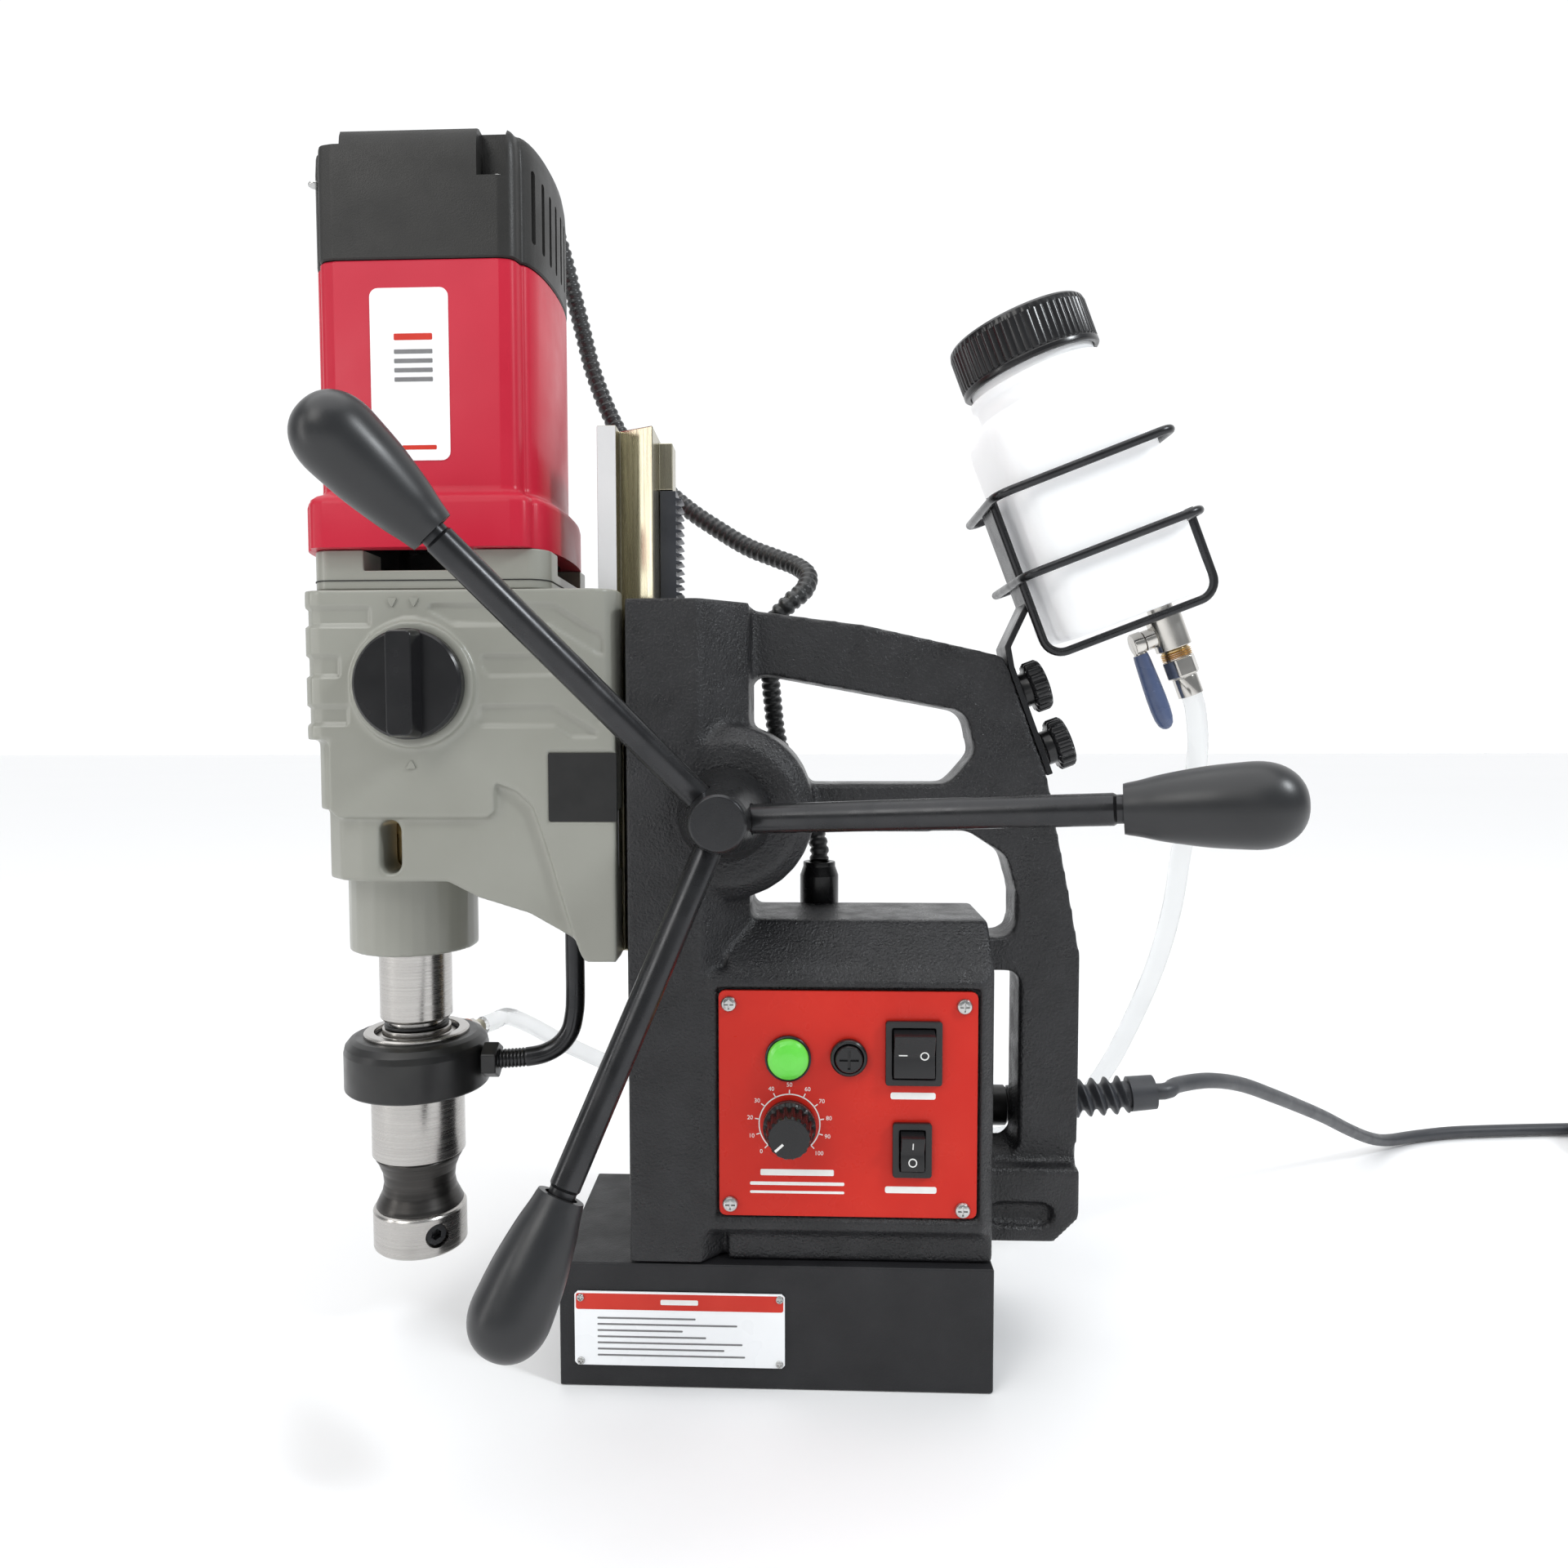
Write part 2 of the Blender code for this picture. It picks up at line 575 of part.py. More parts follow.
def mains_lead():
    gland = [(4.2, 70), (6.1, 70), (6.1, 83.8), (9.8, 83.8), (9.8, 91), (8.6, 91.5), (8.6, 99)]
    gland += [(7.4, 100), (4.2, 100)]
    piece("mains_gland", turned(gland, (0, 25, 89), (1, 0, 0), 12, hollow=True), BRASS)
    root, tip = Vector((101.2, 25, 89.4)), Vector((163.8, 25, 95.5))
    length = (tip - root).length
    profile = [(0, 0), (8, 0)]
    for ridge in range(3):
        start = 3 + 16 * ridge
        profile += [(8, start + 2), (6.2, start + 4.5), (6.2, start + 11), (8, start + 13.5)]
    profile += [(8, 52), (6.4, 53), (7.5, 54), (7.5, length), (0, length)]
    piece("strain_relief", turned(profile, root, tip - root, 12), BLACK_PLASTIC)
    run = [tuple(root.lerp(tip, share)) for share in (1.03, 1.12)]
    run += [(176.6, 32, 96.4), (196, 47, 93.6), (219, 68, 84.9), (244.8, 92, 71.3), (268, 116, 58)]
    run += [(292, 140, 44), (320, 168, 26.5), (343, 190, 13.5), (362, 206, 6.2), (385, 219, 3.8), (410, 226.5, 3.7)]
    run += [(435, 230, 3.7), (460, 231, 3.7), (488.3, 230, 3.7)]
    cord("mains_cord", run, CORD_DIAMETER, BLACK_PLASTIC, 2.8)
    inner, outer = COIL_MEAN - COIL_HALF_WIDTH, COIL_MEAN + COIL_HALF_WIDTH
    ring = [(inner, 2.4), (inner + 3, 0.2), (outer - 3, 0.2), (outer, 2.4)]
    ring += [(outer, COIL_HEIGHT - 4), (outer - 4, COIL_HEIGHT), (inner + 4, COIL_HEIGHT), (inner, COIL_HEIGHT - 4)]
    piece("mains_coil", turned(ring, (COIL_X, COIL_Y, 0), sides=28, hollow=True), BLACK_PLASTIC)
    plug = [(0, 0), (4.6, 0), (6.0, 14), (7.5, 18), (14, 24), (17.2, 34), (17.4, 46), (16.6, 50), (0, 50)]
    at = (COIL_X + COIL_MEAN, COIL_Y - 38.6, 17.8)
    pins = [rod(2.4, 49, 68, (at[0] + dx, at[1], at[2]), (0, -1, 0), 10) for dx in (-9.5, 9.5)]
    piece("mains_plug", turned(plug, at, (0, -1, 0)), BLACK_PLASTIC, steps=add(*pins))


def conduit():
    gland = [(4.6, 158), (5.6, 158), (5.6, 172.3), (8.4, 172.3), (8.4, 190), (7.0, 194), (7.0, 196), (4.6, 196)]
    piece("conduit_gland", turned(gland, (18.2, 28, 0), sides=16, hollow=True), BLACK_PLASTIC)
    route = [(-136, 32, 478.6), (-136, 32, 483), (-135.6, 32.6, 489), (-133, 37.5, 499), (-125.5, 48, 508.5)]
    route += [(-114, 60.5, 506), (-104, 72, 485), (-96.2, 82, 452), (-89.5, 88, 424), (-77, 85, 396), (-61, 78, 375)]
    route += [(-44, 70, 358.5), (-28, 62.5, 346.5), (-14, 54, 337), (-1, 45, 330.5), (8.5, 36.5, 325.5)]
    route += [(13, 27, 319.5), (10.3, 19.3, 312.4), (3.4, 16.7, 306.6), (-2, 19.8, 299.6), (-3.8, 25.2, 290)]
    route += [(-3.4, 31, 279), (-2.4, 36.4, 266.5), (-0.6, 39.4, 251), (3.2, 40.2, 238), (9, 38.5, 225), (15, 34.5, 212.5)]
    route += [(18, 29.6, 203), (18.2, 28, 196.5)]
    cord("motor_conduit", route, CONDUIT_DIAMETER, BLACK_PLASTIC, 1.3)


# ---------------------------------------------------------------- feed and carriage


def capstan(axis):
    centre = (CAPSTAN_X, 0, CAPSTAN_Z)
    flat = Matrix.Rotation(math.radians(90), 4, "X")
    pinion = toothed(PINION_TEETH, math.pi, True, -PINION_HALF_Y, PINION_HALF_Y, (0, 0))
    pinion.transform(Matrix.Translation(Vector(centre)) @ flat)
    shaft = [(0, -29), (8, -29), (8, -6.8), (12, -6.8), (12, 45.5), (8, 45.5), (8, 61.5), (0, 61.5)]
    piece("pinion_shaft", turned(shaft, centre, (0, -1, 0)), STEEL, axis, add(pinion))
    hub = [(0, 62), (8.3, 62), (8.3, 45.8), (17.2, 45.8), (17.8, 47), (9.9, 83.4), (9.2, 84), (0, 84)]
    sockets, rods = [], []
    for angle in map(math.radians, ROD_ANGLES):
        out = Vector((math.cos(angle), 0, math.sin(angle)))
        along = out * math.cos(ROD_SPLAY) + Vector((0, -math.sin(ROD_SPLAY), 0))
        root = Vector((CAPSTAN_X, ROD_ROOT_Y, CAPSTAN_Z)) + out * ROD_ROOT_RADIUS
        sockets.append(rod(ROD_RADIUS + GAP, -7.5, 20, root, along, 16))
        rods.append((root, along))
    piece("capstan_hub", turned(hub, centre, (0, -1, 0)), BLACK_STEEL, axis, cut(*sockets))
    knob_at = (KNOB_START_RADIUS - ROD_ROOT_RADIUS) / math.cos(ROD_SPLAY)
    knob = [(0, 22), (5.6, 22), (5.6, 0), (8.2, 0), (8.3, 3), (10.2, 10.4), (11.5, 17.8), (12.6, 25)]
    knob += [(13.1, 33), (13.4, 38.5), (12.4, 43), (10.0, 47), (6.0, 50.6), (0, 52)]
    for number, (root, along) in enumerate(rods, 1):
        piece(f"capstan_rod_{number}", rod(ROD_RADIUS, -7, knob_at + 21, root, along, 16), BLACK_STEEL, axis)
        piece(f"capstan_knob_{number}", turned(knob, root + along * knob_at, along, 16), BLACK_PLASTIC, axis)


def slide(axis):
    tail = [(PLATE_RIGHT, TAIL_NARROW), (TAIL_TIP_X, TAIL_WIDE)]
    half = [(PLATE_LEFT, PLATE_HALF_Y), (PLATE_RIGHT, PLATE_HALF_Y)] + tail
    outline = half + [(x, -y) for x, y in reversed(half)]
    rib = box((TAIL_TIP_X - 0.5, -41.5), (-6, 6), (350.3, 369))
    piece("slide_bar", prism(outline, SLIDE_BOTTOM, SLIDE_TOP), STEEL, axis, add(rib))
    pitch = math.pi * MODULE
    tip, root = RACK_PITCH_X + MODULE, RACK_PITCH_X - 1.25 * MODULE
    outline = [(RACK_LEFT, RACK_BOTTOM), (root, RACK_BOTTOM)]
    first = math.ceil((RACK_BOTTOM + 1 - CAPSTAN_Z) / pitch - 0.5)
    last = math.floor((RACK_TOP - 1 - CAPSTAN_Z) / pitch - 0.5)
    for k in range(first, last + 1):
        z = CAPSTAN_Z + (k + 0.5) * pitch
        outline += [(root, z - 0.74), (tip, z - 0.30), (tip, z + 0.30), (root, z + 0.74)]
    outline += [(root, RACK_TOP), (RACK_LEFT, RACK_TOP)]
    piece("feed_rack", prism(outline, -RACK_HALF_Y, RACK_HALF_Y, "Y"), BLACK_STEEL, axis)


def gearbox(axis):
    """A hollow aluminium casting, open at the top, whose right face takes the slide."""
    left, right, front = -180.4, GEARBOX_RIGHT, GEARBOX_FRONT
    upper = prism(rectangle(left, right, front, -front, 9), 250.5, GEARBOX_TOP)
    middle = prism(rectangle(-176.8, right - 0.5, -39.5, 39.5, 9), 223.5, 251.5)
    lower = prism(rectangle(-177.4, right - 0.5, -39.5, 39.5, 20), 196, 224.5)
    foot = [(-60.0, 165.3), (-60.0, 200), (-126, 200), (-126, 196.5), (-113.3, 190), (-93.8, 184)]
    foot += [(-75.9, 173.9), (-73.1, 166.2), (-72.0, 165.3)]
    ramp = prism(foot, -39.5, 39.5, "Y")
    block = prism(rectangle(-169.5, -105.9, 220.7, 252, 3, 1), -42, -36, "Y")
    spindle = (SPINDLE_X, 0, 0)
    nose = rod(NOSE_RADIUS, NOSE_BOTTOM, 200, spindle, sides=32)
    selector = rod(23.7, 38, 44.5, (SELECTOR_AT[0], 0, SELECTOR_AT[1]), (0, -1, 0), 32)
    cavity = prism(rectangle(left + 5, -88, -37, 37, 8), 243, GEARBOX_TOP + BITE)
    plate = box((PLATE_LEFT - GAP, right + BITE), (-PLATE_HALF_Y - GAP, PLATE_HALF_Y + GAP), (160, 310))
    steps = add(middle, lower, ramp, block, nose, selector)
    steps += cut(
        cavity,
        rod(20, 160, 244, spindle),
        plate,
        rod(6.4, 34, 46, (SELECTOR_AT[0], 0, SELECTOR_AT[1]), (0, -1, 0)),
        rod(4.4, 160, 195, (-84.6, 0, 0), sides=12),
        prism(rectangle(-151.5, -143.1, 199, 219.8, 4), -43, -34, "Y"),
    )
    piece("gearbox_housing", upper, GREY_PAINT, axis, steps)


def motor_outline(growth=0.0):
    """Flat front and back, bulging sides and round corners, about the motor's axis."""
    half_x, half_y, flat = MOTOR_HALF_X + growth, MOTOR_HALF_Y + growth, MOTOR_FLAT_HALF + growth
    bulge = half_x - flat - 3.0
    quarter = [(flat - 4, -half_y), (flat, -half_y + 1.6), (flat + 3.0, -half_y + 6.5)]
    for angle in (math.pi / 6, math.pi / 3, math.pi / 2):
        quarter.append((flat + 3.0 + bulge * math.sin(angle), -(half_y - 6.5) * math.cos(angle)))
    right = quarter + [(x, -y) for x, y in reversed(quarter[:-1])]
    whole = right + [(-x, -y) for x, y in right]
    return [(ARMATURE_X + x, y) for x, y in whole]


def at_height(outline, z):
    return [Vector((x, y, z)) for x, y in outline]


def motor(axis):
    plan = rectangle(-176, -85, -40, 40, 8)
    openings = [box((-155, -113), (-45, 45), (314.4, 323)), box((-180, -80), (-22, 22), (314.4, 323))]
    hole = rod(10, 300, 320, (ARMATURE_X, 0, 0))
    piece("motor_flange", prism(plan, GEARBOX_TOP + GAP, MOTOR_BOTTOM - GAP), GREY_PAINT, axis, cut(hole, *openings))
    shell = [(SKIRT_GROWTH, MOTOR_BOTTOM), (SKIRT_GROWTH, SKIRT_TOP - 2.5), (SKIRT_GROWTH - 2, SKIRT_TOP)]
    shell += [(0, SKIRT_TOP), (0, MOTOR_TOP), (-3.5, MOTOR_TOP), (-3.5, MOTOR_BOTTOM)]
    piece("motor_housing", loft([at_height(motor_outline(g), z) for g, z in shell], True), RED_PAINT, axis)
    cap = [(-3.5, 452), (-3.5, MOTOR_TOP + GAP), (0, MOTOR_TOP + GAP), (0, CAP_TOP - 4), (-2, CAP_TOP)]
    steps = cut(
        box((-185, -152), (-50, 50), (CAP_TOP - 5.6, CAP_TOP + 6)),
        box((-108, -92.4), (-50, -31), (CAP_TOP - 18, CAP_TOP - 3.4)),
    )
    piece("motor_cap", loft([at_height(motor_outline(g), z) for g, z in cap]), BLACK_PLASTIC, axis, steps)
    core = [(20.8, 346), (34.5, 346), (34.5, 400), (20.8, 400)]
    piece("motor_stator", turned(core, (ARMATURE_X, 0, 0), hollow=True), STEEL, axis)


def selector(axis):
    x, z = SELECTOR_AT
    disc = [(0, 32), (6, 32), (6, 44.9), (20.8, 44.9), (20.8, 49.5), (20.0, 50.3), (0, 50.3)]
    grip = prism(rectangle(x - 5.2, x + 5.2, z - 19.6, z + 19.6, 4), -58.0, -49.5, "Y")
    piece("gear_selector", turned(disc, (x, 0, z), (0, -1, 0), 28), BLACK_PLASTIC, axis, add(grip))


def coolant_ring(axis):
    ring = [(17.2, 104.5), (28.7, 104.5), (29.5, 105.3), (29.5, 121.5), (28.3, 124.6), (25.5, 126.5), (17.2, 126.5)]
    outward = Vector((math.cos(math.radians(65)), math.sin(math.radians(65)), 0))
    barb = rod(3.2, 27, 40, (SPINDLE_X, 0, 119), outward, 12)
    piece("coolant_ring", turned(ring, (SPINDLE_X, 0, 0), sides=28, hollow=True), BLACK_PAINT, axis, add(barb))
    path = [(-122.2, -5, 116.4), (-115, -4.6, 116.7), (-104, -3, 117.2), (-97, -1.5, 118.5), (-91, -0.6, 122)]
    path += [(-87, 0, 127.5), (-85.2, 0, 134.5), (-84.6, 0, 143), (-84.6, 0, 190)]
    nut = rod(7.6, 0, 6.4, (-122.2, -5, 116.4), (1, 0, 0), 6)
    piece("stay_rod", swept(path, 4.0, (0, 1, 0)), BLACK_STEEL, axis, add(nut))


# ---------------------------------------------------------------- drive train


def layshaft_centre():
    """Where the layshaft's two pitch distances meet, behind the line of the other axes."""
    to_spindle = MODULE * (SPINDLE_TEETH + LAY_SMALL_TEETH) / 2
    to_armature = MODULE * (ARMATURE_TEETH + LAY_LARGE_TEETH) / 2
    apart = ARMATURE_X - SPINDLE_X
    along = (to_spindle**2 - to_armature**2 + apart**2) / (2 * apart)
    return SPINDLE_X + along, math.sqrt(to_spindle**2 - along**2)


def drive_train(carriage):
    lay = layshaft_centre()
    from_spindle = math.atan2(lay[1], lay[0] - SPINDLE_X)
    from_armature = math.atan2(lay[1], lay[0] - ARMATURE_X)
    spindle_axis = axis_empty("spindle_axis", SPINDLE_X, 0, 0)
    lay_axis = axis_empty("layshaft_axis", lay[0], lay[1], 0)
    armature_axis = axis_empty("armature_axis", ARMATURE_X, 0, 0)
    for empty in (spindle_axis, lay_axis, armature_axis):
        empty.parent = carriage
        empty.matrix_parent_inverse = Matrix.Translation(-carriage.location)
    spindle_at, lay_at, armature_at = (SPINDLE_X, 0, 0), (*lay, 0), (ARMATURE_X, 0, 0)

    ring = [(15.1, 166), (19.7, 166), (19.7, 238), (15.1, 238)]
    piece("spindle_bearing", turned(ring, spindle_at, hollow=True), BRASS, carriage)
    body = [(0, 191), (8.4, 191), (8.4, 133), (14.0, 133), (14.75, 133.8), (14.75, 240), (8, 240), (8, 283), (0, 283)]
    piece("spindle", turned(body, spindle_at, sides=24), STEEL, spindle_axis)
    gear = toothed(SPINDLE_TEETH, from_spindle, False, *LOWER_MESH, (SPINDLE_X, 0))
    piece("spindle_gear", gear, STEEL, spindle_axis, cut(rod(8.3, 250, 290, spindle_at)))
    arbor = [(0, 61), (9.5, 61), (9.5, 36), (18.2, 36), (19.2, 37), (19.2, 52.0), (17.2, 55.5), (15.3, 59.5)]
    arbor += [(14.5, 63.5), (15.0, 68.0), (16.8, 72.5), (19.1, 76.0), (19.1, 103.6), (16.7, 104.4), (16.7, 125.8)]
    arbor += [(14.0, 127.0), (14.0, 129.5), (11, 129.6), (11, 132.7), (8, 132.8), (8, 190), (0, 190)]
    piece("arbor", turned(arbor, spindle_at, sides=24), STEEL, spindle_axis)

    large = toothed(LAY_LARGE_TEETH, from_armature + math.pi, False, *UPPER_MESH, lay)
    small = toothed(LAY_SMALL_TEETH, from_spindle + math.pi, True, LOWER_MESH[0] - 1, UPPER_MESH[0] + BITE, lay)
    piece("layshaft", rod(3.2, 246, 305, lay_at, sides=16), STEEL, lay_axis, add(small, large))

    shaft = [(0, 298), (2.6, 298), (2.6, 302), (3.6, 303), (3.6, 347), (20, 347), (20, 399), (6, 401), (6, 404)]
    shaft += [(12, 405), (12, 420), (3.6, 421), (3.6, 448), (0, 448)]
    pinion = toothed(ARMATURE_TEETH, from_armature, True, *UPPER_MESH, (ARMATURE_X, 0))
    piece("armature", turned(shaft, armature_at), COPPER, armature_axis, add(pinion))
    blades = []
    for k in range(10):
        for radius, half in ((11, -1.4), (30, -1.0), (30, 1.0), (11, 1.4)):
            angle = 2 * math.pi * k / 10 + half / radius
            blades.append((ARMATURE_X + radius * math.cos(angle), radius * math.sin(angle)))
    fan = prism(blades, 329, 341)
    piece("cooling_fan", fan, BLACK_PLASTIC, armature_axis, cut(rod(3.9, 325, 345, armature_at)))


# ---------------------------------------------------------------- coolant bottle


def leaning(u, y, v):
    return BOTTLE_ORIGIN + ALONG_U * u + ALONG_V * v + Vector((0, y, 0))


def leaned(bm):
    """Puts a shape modelled upright about the bottle's frame into the leaning frame."""
    frame = Matrix((ALONG_U, Vector((0, 1, 0)), ALONG_V)).transposed().to_4x4()
    bm.transform(Matrix.Translation(BOTTLE_ORIGIN) @ frame)
    return bm


def bottle_ring(half, v, corner, points=5):
    """A square with round corners, or a circle when the corner is the whole half width."""
    ring = []
    for quadrant, (sx, sy) in enumerate(((1, 1), (-1, 1), (-1, -1), (1, -1))):
        for step in range(points):
            angle = math.pi / 2 * (quadrant + step / (points - 1) * 0.999)
            ring.append(
                Vector(
                    (
                        BOTTLE_U + sx * (half - corner) + corner * math.cos(angle),
                        sy * (half - corner) + corner * math.sin(angle),
                        v,
                    )
                )
            )
    return ring


def bottle():
    half, neck, wall = BOTTLE_HALF, NECK_RADIUS, BOTTLE_WALL
    outer = [(half - 4, BOTTLE_FLOOR, 7), (half, BOTTLE_FLOOR + 4, 9), (half, BOTTLE_SHOULDER - 3, 9)]
    outer += [(half - 2.5, BOTTLE_SHOULDER, 12), (neck, BOTTLE_SHOULDER + 1.2, neck), (neck, 101, neck)]
    outer += [(neck + 1.6, 102, neck + 1.6), (neck + 1.6, 104.5, neck + 1.6), (neck, 105.5, neck), (neck, NECK_TOP, neck)]
    inside = [(neck - wall, NECK_TOP, neck - wall), (neck - wall, BOTTLE_SHOULDER - 2, neck - wall)]
    inside += [(half - wall, BOTTLE_SHOULDER - 5, 9), (half - wall, BOTTLE_FLOOR + 4, 8), (half - 6, BOTTLE_FLOOR + wall, 6)]
    shell = loft([bottle_ring(h, v, c) for h, v, c in outer + inside])
    piece("coolant_bottle", leaned(shell), WHITE_PLASTIC)
    at = leaning(BOTTLE_U, 0, 0)
    cap = [(0, 124.6), (25.6, 124.6), (25.6, 107.3), (27.4, 107.3), (27.85, 108.2), (27.85, 125), (26.4, 127), (0, 127.5)]
    axis = axis_empty("bottle_cap_axis", *leaning(BOTTLE_U, 0, 107.3))
    piece("bottle_cap", turned(cap, at, ALONG_V, 32), BLACK_PLASTIC, axis)


def cage_ring(v):
    corners = [(-34.6, -33), (35.8, -33), (35.8, 33), (-34.6, 33)]
    outline = rounded(corners, 6)
    return swept([leaning(u, y, v) for u, y in outline], WIRE_RADIUS, ALONG_V, closed=True)


def cage_and_bracket():
    corners = rounded([(-31.6, 66), (-31.6, -1.2), (38.4, -1.2), (38.4, 34)], [0, 7, 7, 0])
    hoop = swept([leaning(u, -12.2, v) for u, v in corners], WIRE_RADIUS, (0, 1, 0))
    piece("wire_cage", cage_ring(31), BLACK_STEEL, steps=add(cage_ring(63), hoop))
    face, down, out = Vector((91.2, 280.6)), Vector((0.346, -0.938)), Vector((0.938, 0.346))
    lower = [face + down * s + out * 1.7 for s in (48.5, 3.0)]
    upper = [leaning(-31.2, 0, v) for v in (22, 66)]
    path = lower + [Vector((92.3, 286.6))] + [Vector((p.x, p.z)) for p in upper]
    piece("bottle_bracket", strap(path, 2.4, 10), BLACK_STEEL)


def thumb_screws():
    """Two knurled screws that clamp the bracket's strip to the leaning grip."""
    out = Vector((0.938, 0, 0.346))
    for name, x, z in (("upper", 105.6, 271.3), ("lower", 115.2, 248.1)):
        axis = axis_empty(f"thumb_screw_{name}_axis", x, 0, z)
        screw = [(0, -7.0), (7, -7.0), (7, -3.2), (10.0, -3.2), (10.5, -2.6), (10.5, 2.6), (9.6, 3.3), (0, 3.3)]
        piece(f"thumb_screw_{name}", turned(screw, (x, 0, z), out), BLACK_PLASTIC, axis)


def valve():
    at = leaning(VALVE_U, 0, 0)
    body = [(0, -1.7), (7, -1.7), (7, -16), (5.2, -16.6), (6.75, -17.4), (6.75, -27.9), (0, -27.9)][::-1]
    stem = rod(4.2, 6, 10.5, leaning(VALVE_U, 0, -9), -ALONG_U, 12)
    post = rod(5.0, -BITE, 3.4, leaning(VALVE_U, 0, -1.7), ALONG_V, 12)
    piece("valve_body", turned(body, at, ALONG_V, 18), STEEL, steps=add(stem, post))
    axis = axis_empty("valve_lever_axis", *leaning(VALVE_U, 0, -9))
    disc = rod(4.6, 10.8, 15.5, leaning(VALVE_U, 0, -9), -ALONG_U, 12)
    lengths = ((-10, 2.4, 2.6), (-14, 2.5, 2.8), (-19, 3.1, 3.0), (-36, 3.7, 3.5), (-43, 3.4, 3.2), (-45.5, 2.0, 2.0))
    rings = []
    for v, half_u, half_y in lengths:
        angles = [2 * math.pi * (k + 0.5) / 10 for k in range(10)]
        rings.append([leaning(5.6 + half_u * math.cos(a), half_y * math.sin(a), v) for a in angles])
    piece("valve_lever", loft(rings), BLUE_VINYL, axis, add(disc))


def hose():
    route = [tuple(leaning(VALVE_U, 0, v)) for v in (-28.4, -34, -40)]
    route += [(171.5, 1.5, 248), (171.5, 6, 228), (170, 13, 205), (169.5, 23, 176), (167, 36, 148)]
    route += [(162, 51, 120), (155, 67, 92), (143, 82, 67), (120, 94, 51), (90, 102, 44), (55, 107, 42), (18, 110, 43)]
    route += [(-20, 112, 49), (-55, 111, 62), (-86, 104, 79), (-109, 90, 95), (-122, 73, 109)]
    outward = Vector((math.cos(math.radians(65)), math.sin(math.radians(65)), 0))
    route += [tuple(Vector((SPINDLE_X, 0, 119)) + outward * reach) for reach in (58, 49, 40.8)]
    cord("coolant_hose", route, HOSE_DIAMETER, CLEAR_HOSE, 2.8)


# ---------------------------------------------------------------- assembly


def clear_scene():
    for obj in list(bpy.data.objects):
        bpy.data.objects.remove(obj)


def main():
    clear_scene()
    magnet_foot()
    stand_casting()
    gib_and_bush()
    control_panel()
    panel_fittings()
    rocker_switch("motor", MOTOR_SWITCH, 1)
    rocker_switch("magnet", MAGNET_SWITCH, 1)
    label_plate()
    mains_lead()
    conduit()
    capstan(axis_empty("capstan_axis", CAPSTAN_X, 0, CAPSTAN_Z))
    carriage = axis_empty("carriage_axis", PLATE_RIGHT, 0, SLIDE_BOTTOM)
    slide(carriage)
    gearbox(carriage)
    motor(carriage)
    coolant_ring(carriage)
    drive_train(carriage)
    selector(axis_empty("gear_selector_axis", SELECTOR_AT[0], -45, SELECTOR_AT[1]))
    bottle()
    cage_and_bracket()
    thumb_screws()
    valve()
    hose()


main()
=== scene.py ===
"""The looks of a magnetic drill press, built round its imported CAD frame.

Shapes are drawn in millimetres in the frame's own axes and become metres when a mesh is made.
"""

import math

import bmesh
import bpy
from mathutils import Matrix, Vector


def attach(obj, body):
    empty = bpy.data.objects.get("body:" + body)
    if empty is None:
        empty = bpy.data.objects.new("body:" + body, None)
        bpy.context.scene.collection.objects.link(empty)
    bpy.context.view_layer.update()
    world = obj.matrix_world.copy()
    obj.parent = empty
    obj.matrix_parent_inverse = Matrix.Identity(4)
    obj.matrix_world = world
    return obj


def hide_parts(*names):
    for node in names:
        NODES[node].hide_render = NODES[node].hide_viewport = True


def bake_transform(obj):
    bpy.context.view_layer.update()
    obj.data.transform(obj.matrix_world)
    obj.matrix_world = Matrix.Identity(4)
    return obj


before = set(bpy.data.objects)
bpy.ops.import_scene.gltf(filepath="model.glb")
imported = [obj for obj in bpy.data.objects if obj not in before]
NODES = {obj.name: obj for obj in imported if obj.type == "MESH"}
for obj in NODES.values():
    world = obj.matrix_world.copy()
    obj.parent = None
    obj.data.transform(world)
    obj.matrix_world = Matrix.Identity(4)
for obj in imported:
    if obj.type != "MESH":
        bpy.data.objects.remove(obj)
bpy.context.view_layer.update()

MM = 0.001
UP, FRONT, RIGHT = Vector((0, 0, 1)), Vector((0, -1, 0)), Vector((1, 0, 0))

# ---------------------------------------------------------------- shapes


def rounded(corners, radii, steps=5, closed=True):
    """The outline through these corners, each rounded as far as its edges allow."""
    count = len(corners)
    if not isinstance(radii, (list, tuple)):
        radii = [radii] * count
    outline = []
    for i, radius in enumerate(radii):
        here = Vector(corners[i])
        back, ahead = Vector(corners[i - 1]) - here, Vector(corners[(i + 1) % count]) - here
        at_end = not closed and i in (0, count - 1)
        half = 0 if at_end or radius == 0 else back.angle(ahead) / 2
        if not 0.02 < half < 1.54:
            outline.append(tuple(here))
            continue
        run = min(radius / math.tan(half), 0.48 * back.length, 0.48 * ahead.length)
        radius = run * math.tan(half)
        back.normalize()
        ahead.normalize()
        middle = here + (back + ahead).normalized() * radius / math.sin(half)
        start, end = here + back * run - middle, here + ahead * run - middle
        turn = start.angle_signed(end)
        for step in range(steps + 1):
            angle = -turn * step / steps
            c, s = math.cos(angle), math.sin(angle)
            outline.append((middle.x + start.x * c - start.y * s, middle.y + start.x * s + start.y * c))
    return outline


def rectangle(left, right, bottom, top, radius=0.0, steps=5):
    return rounded([(left, bottom), (right, bottom), (right, top), (left, top)], radius, steps)


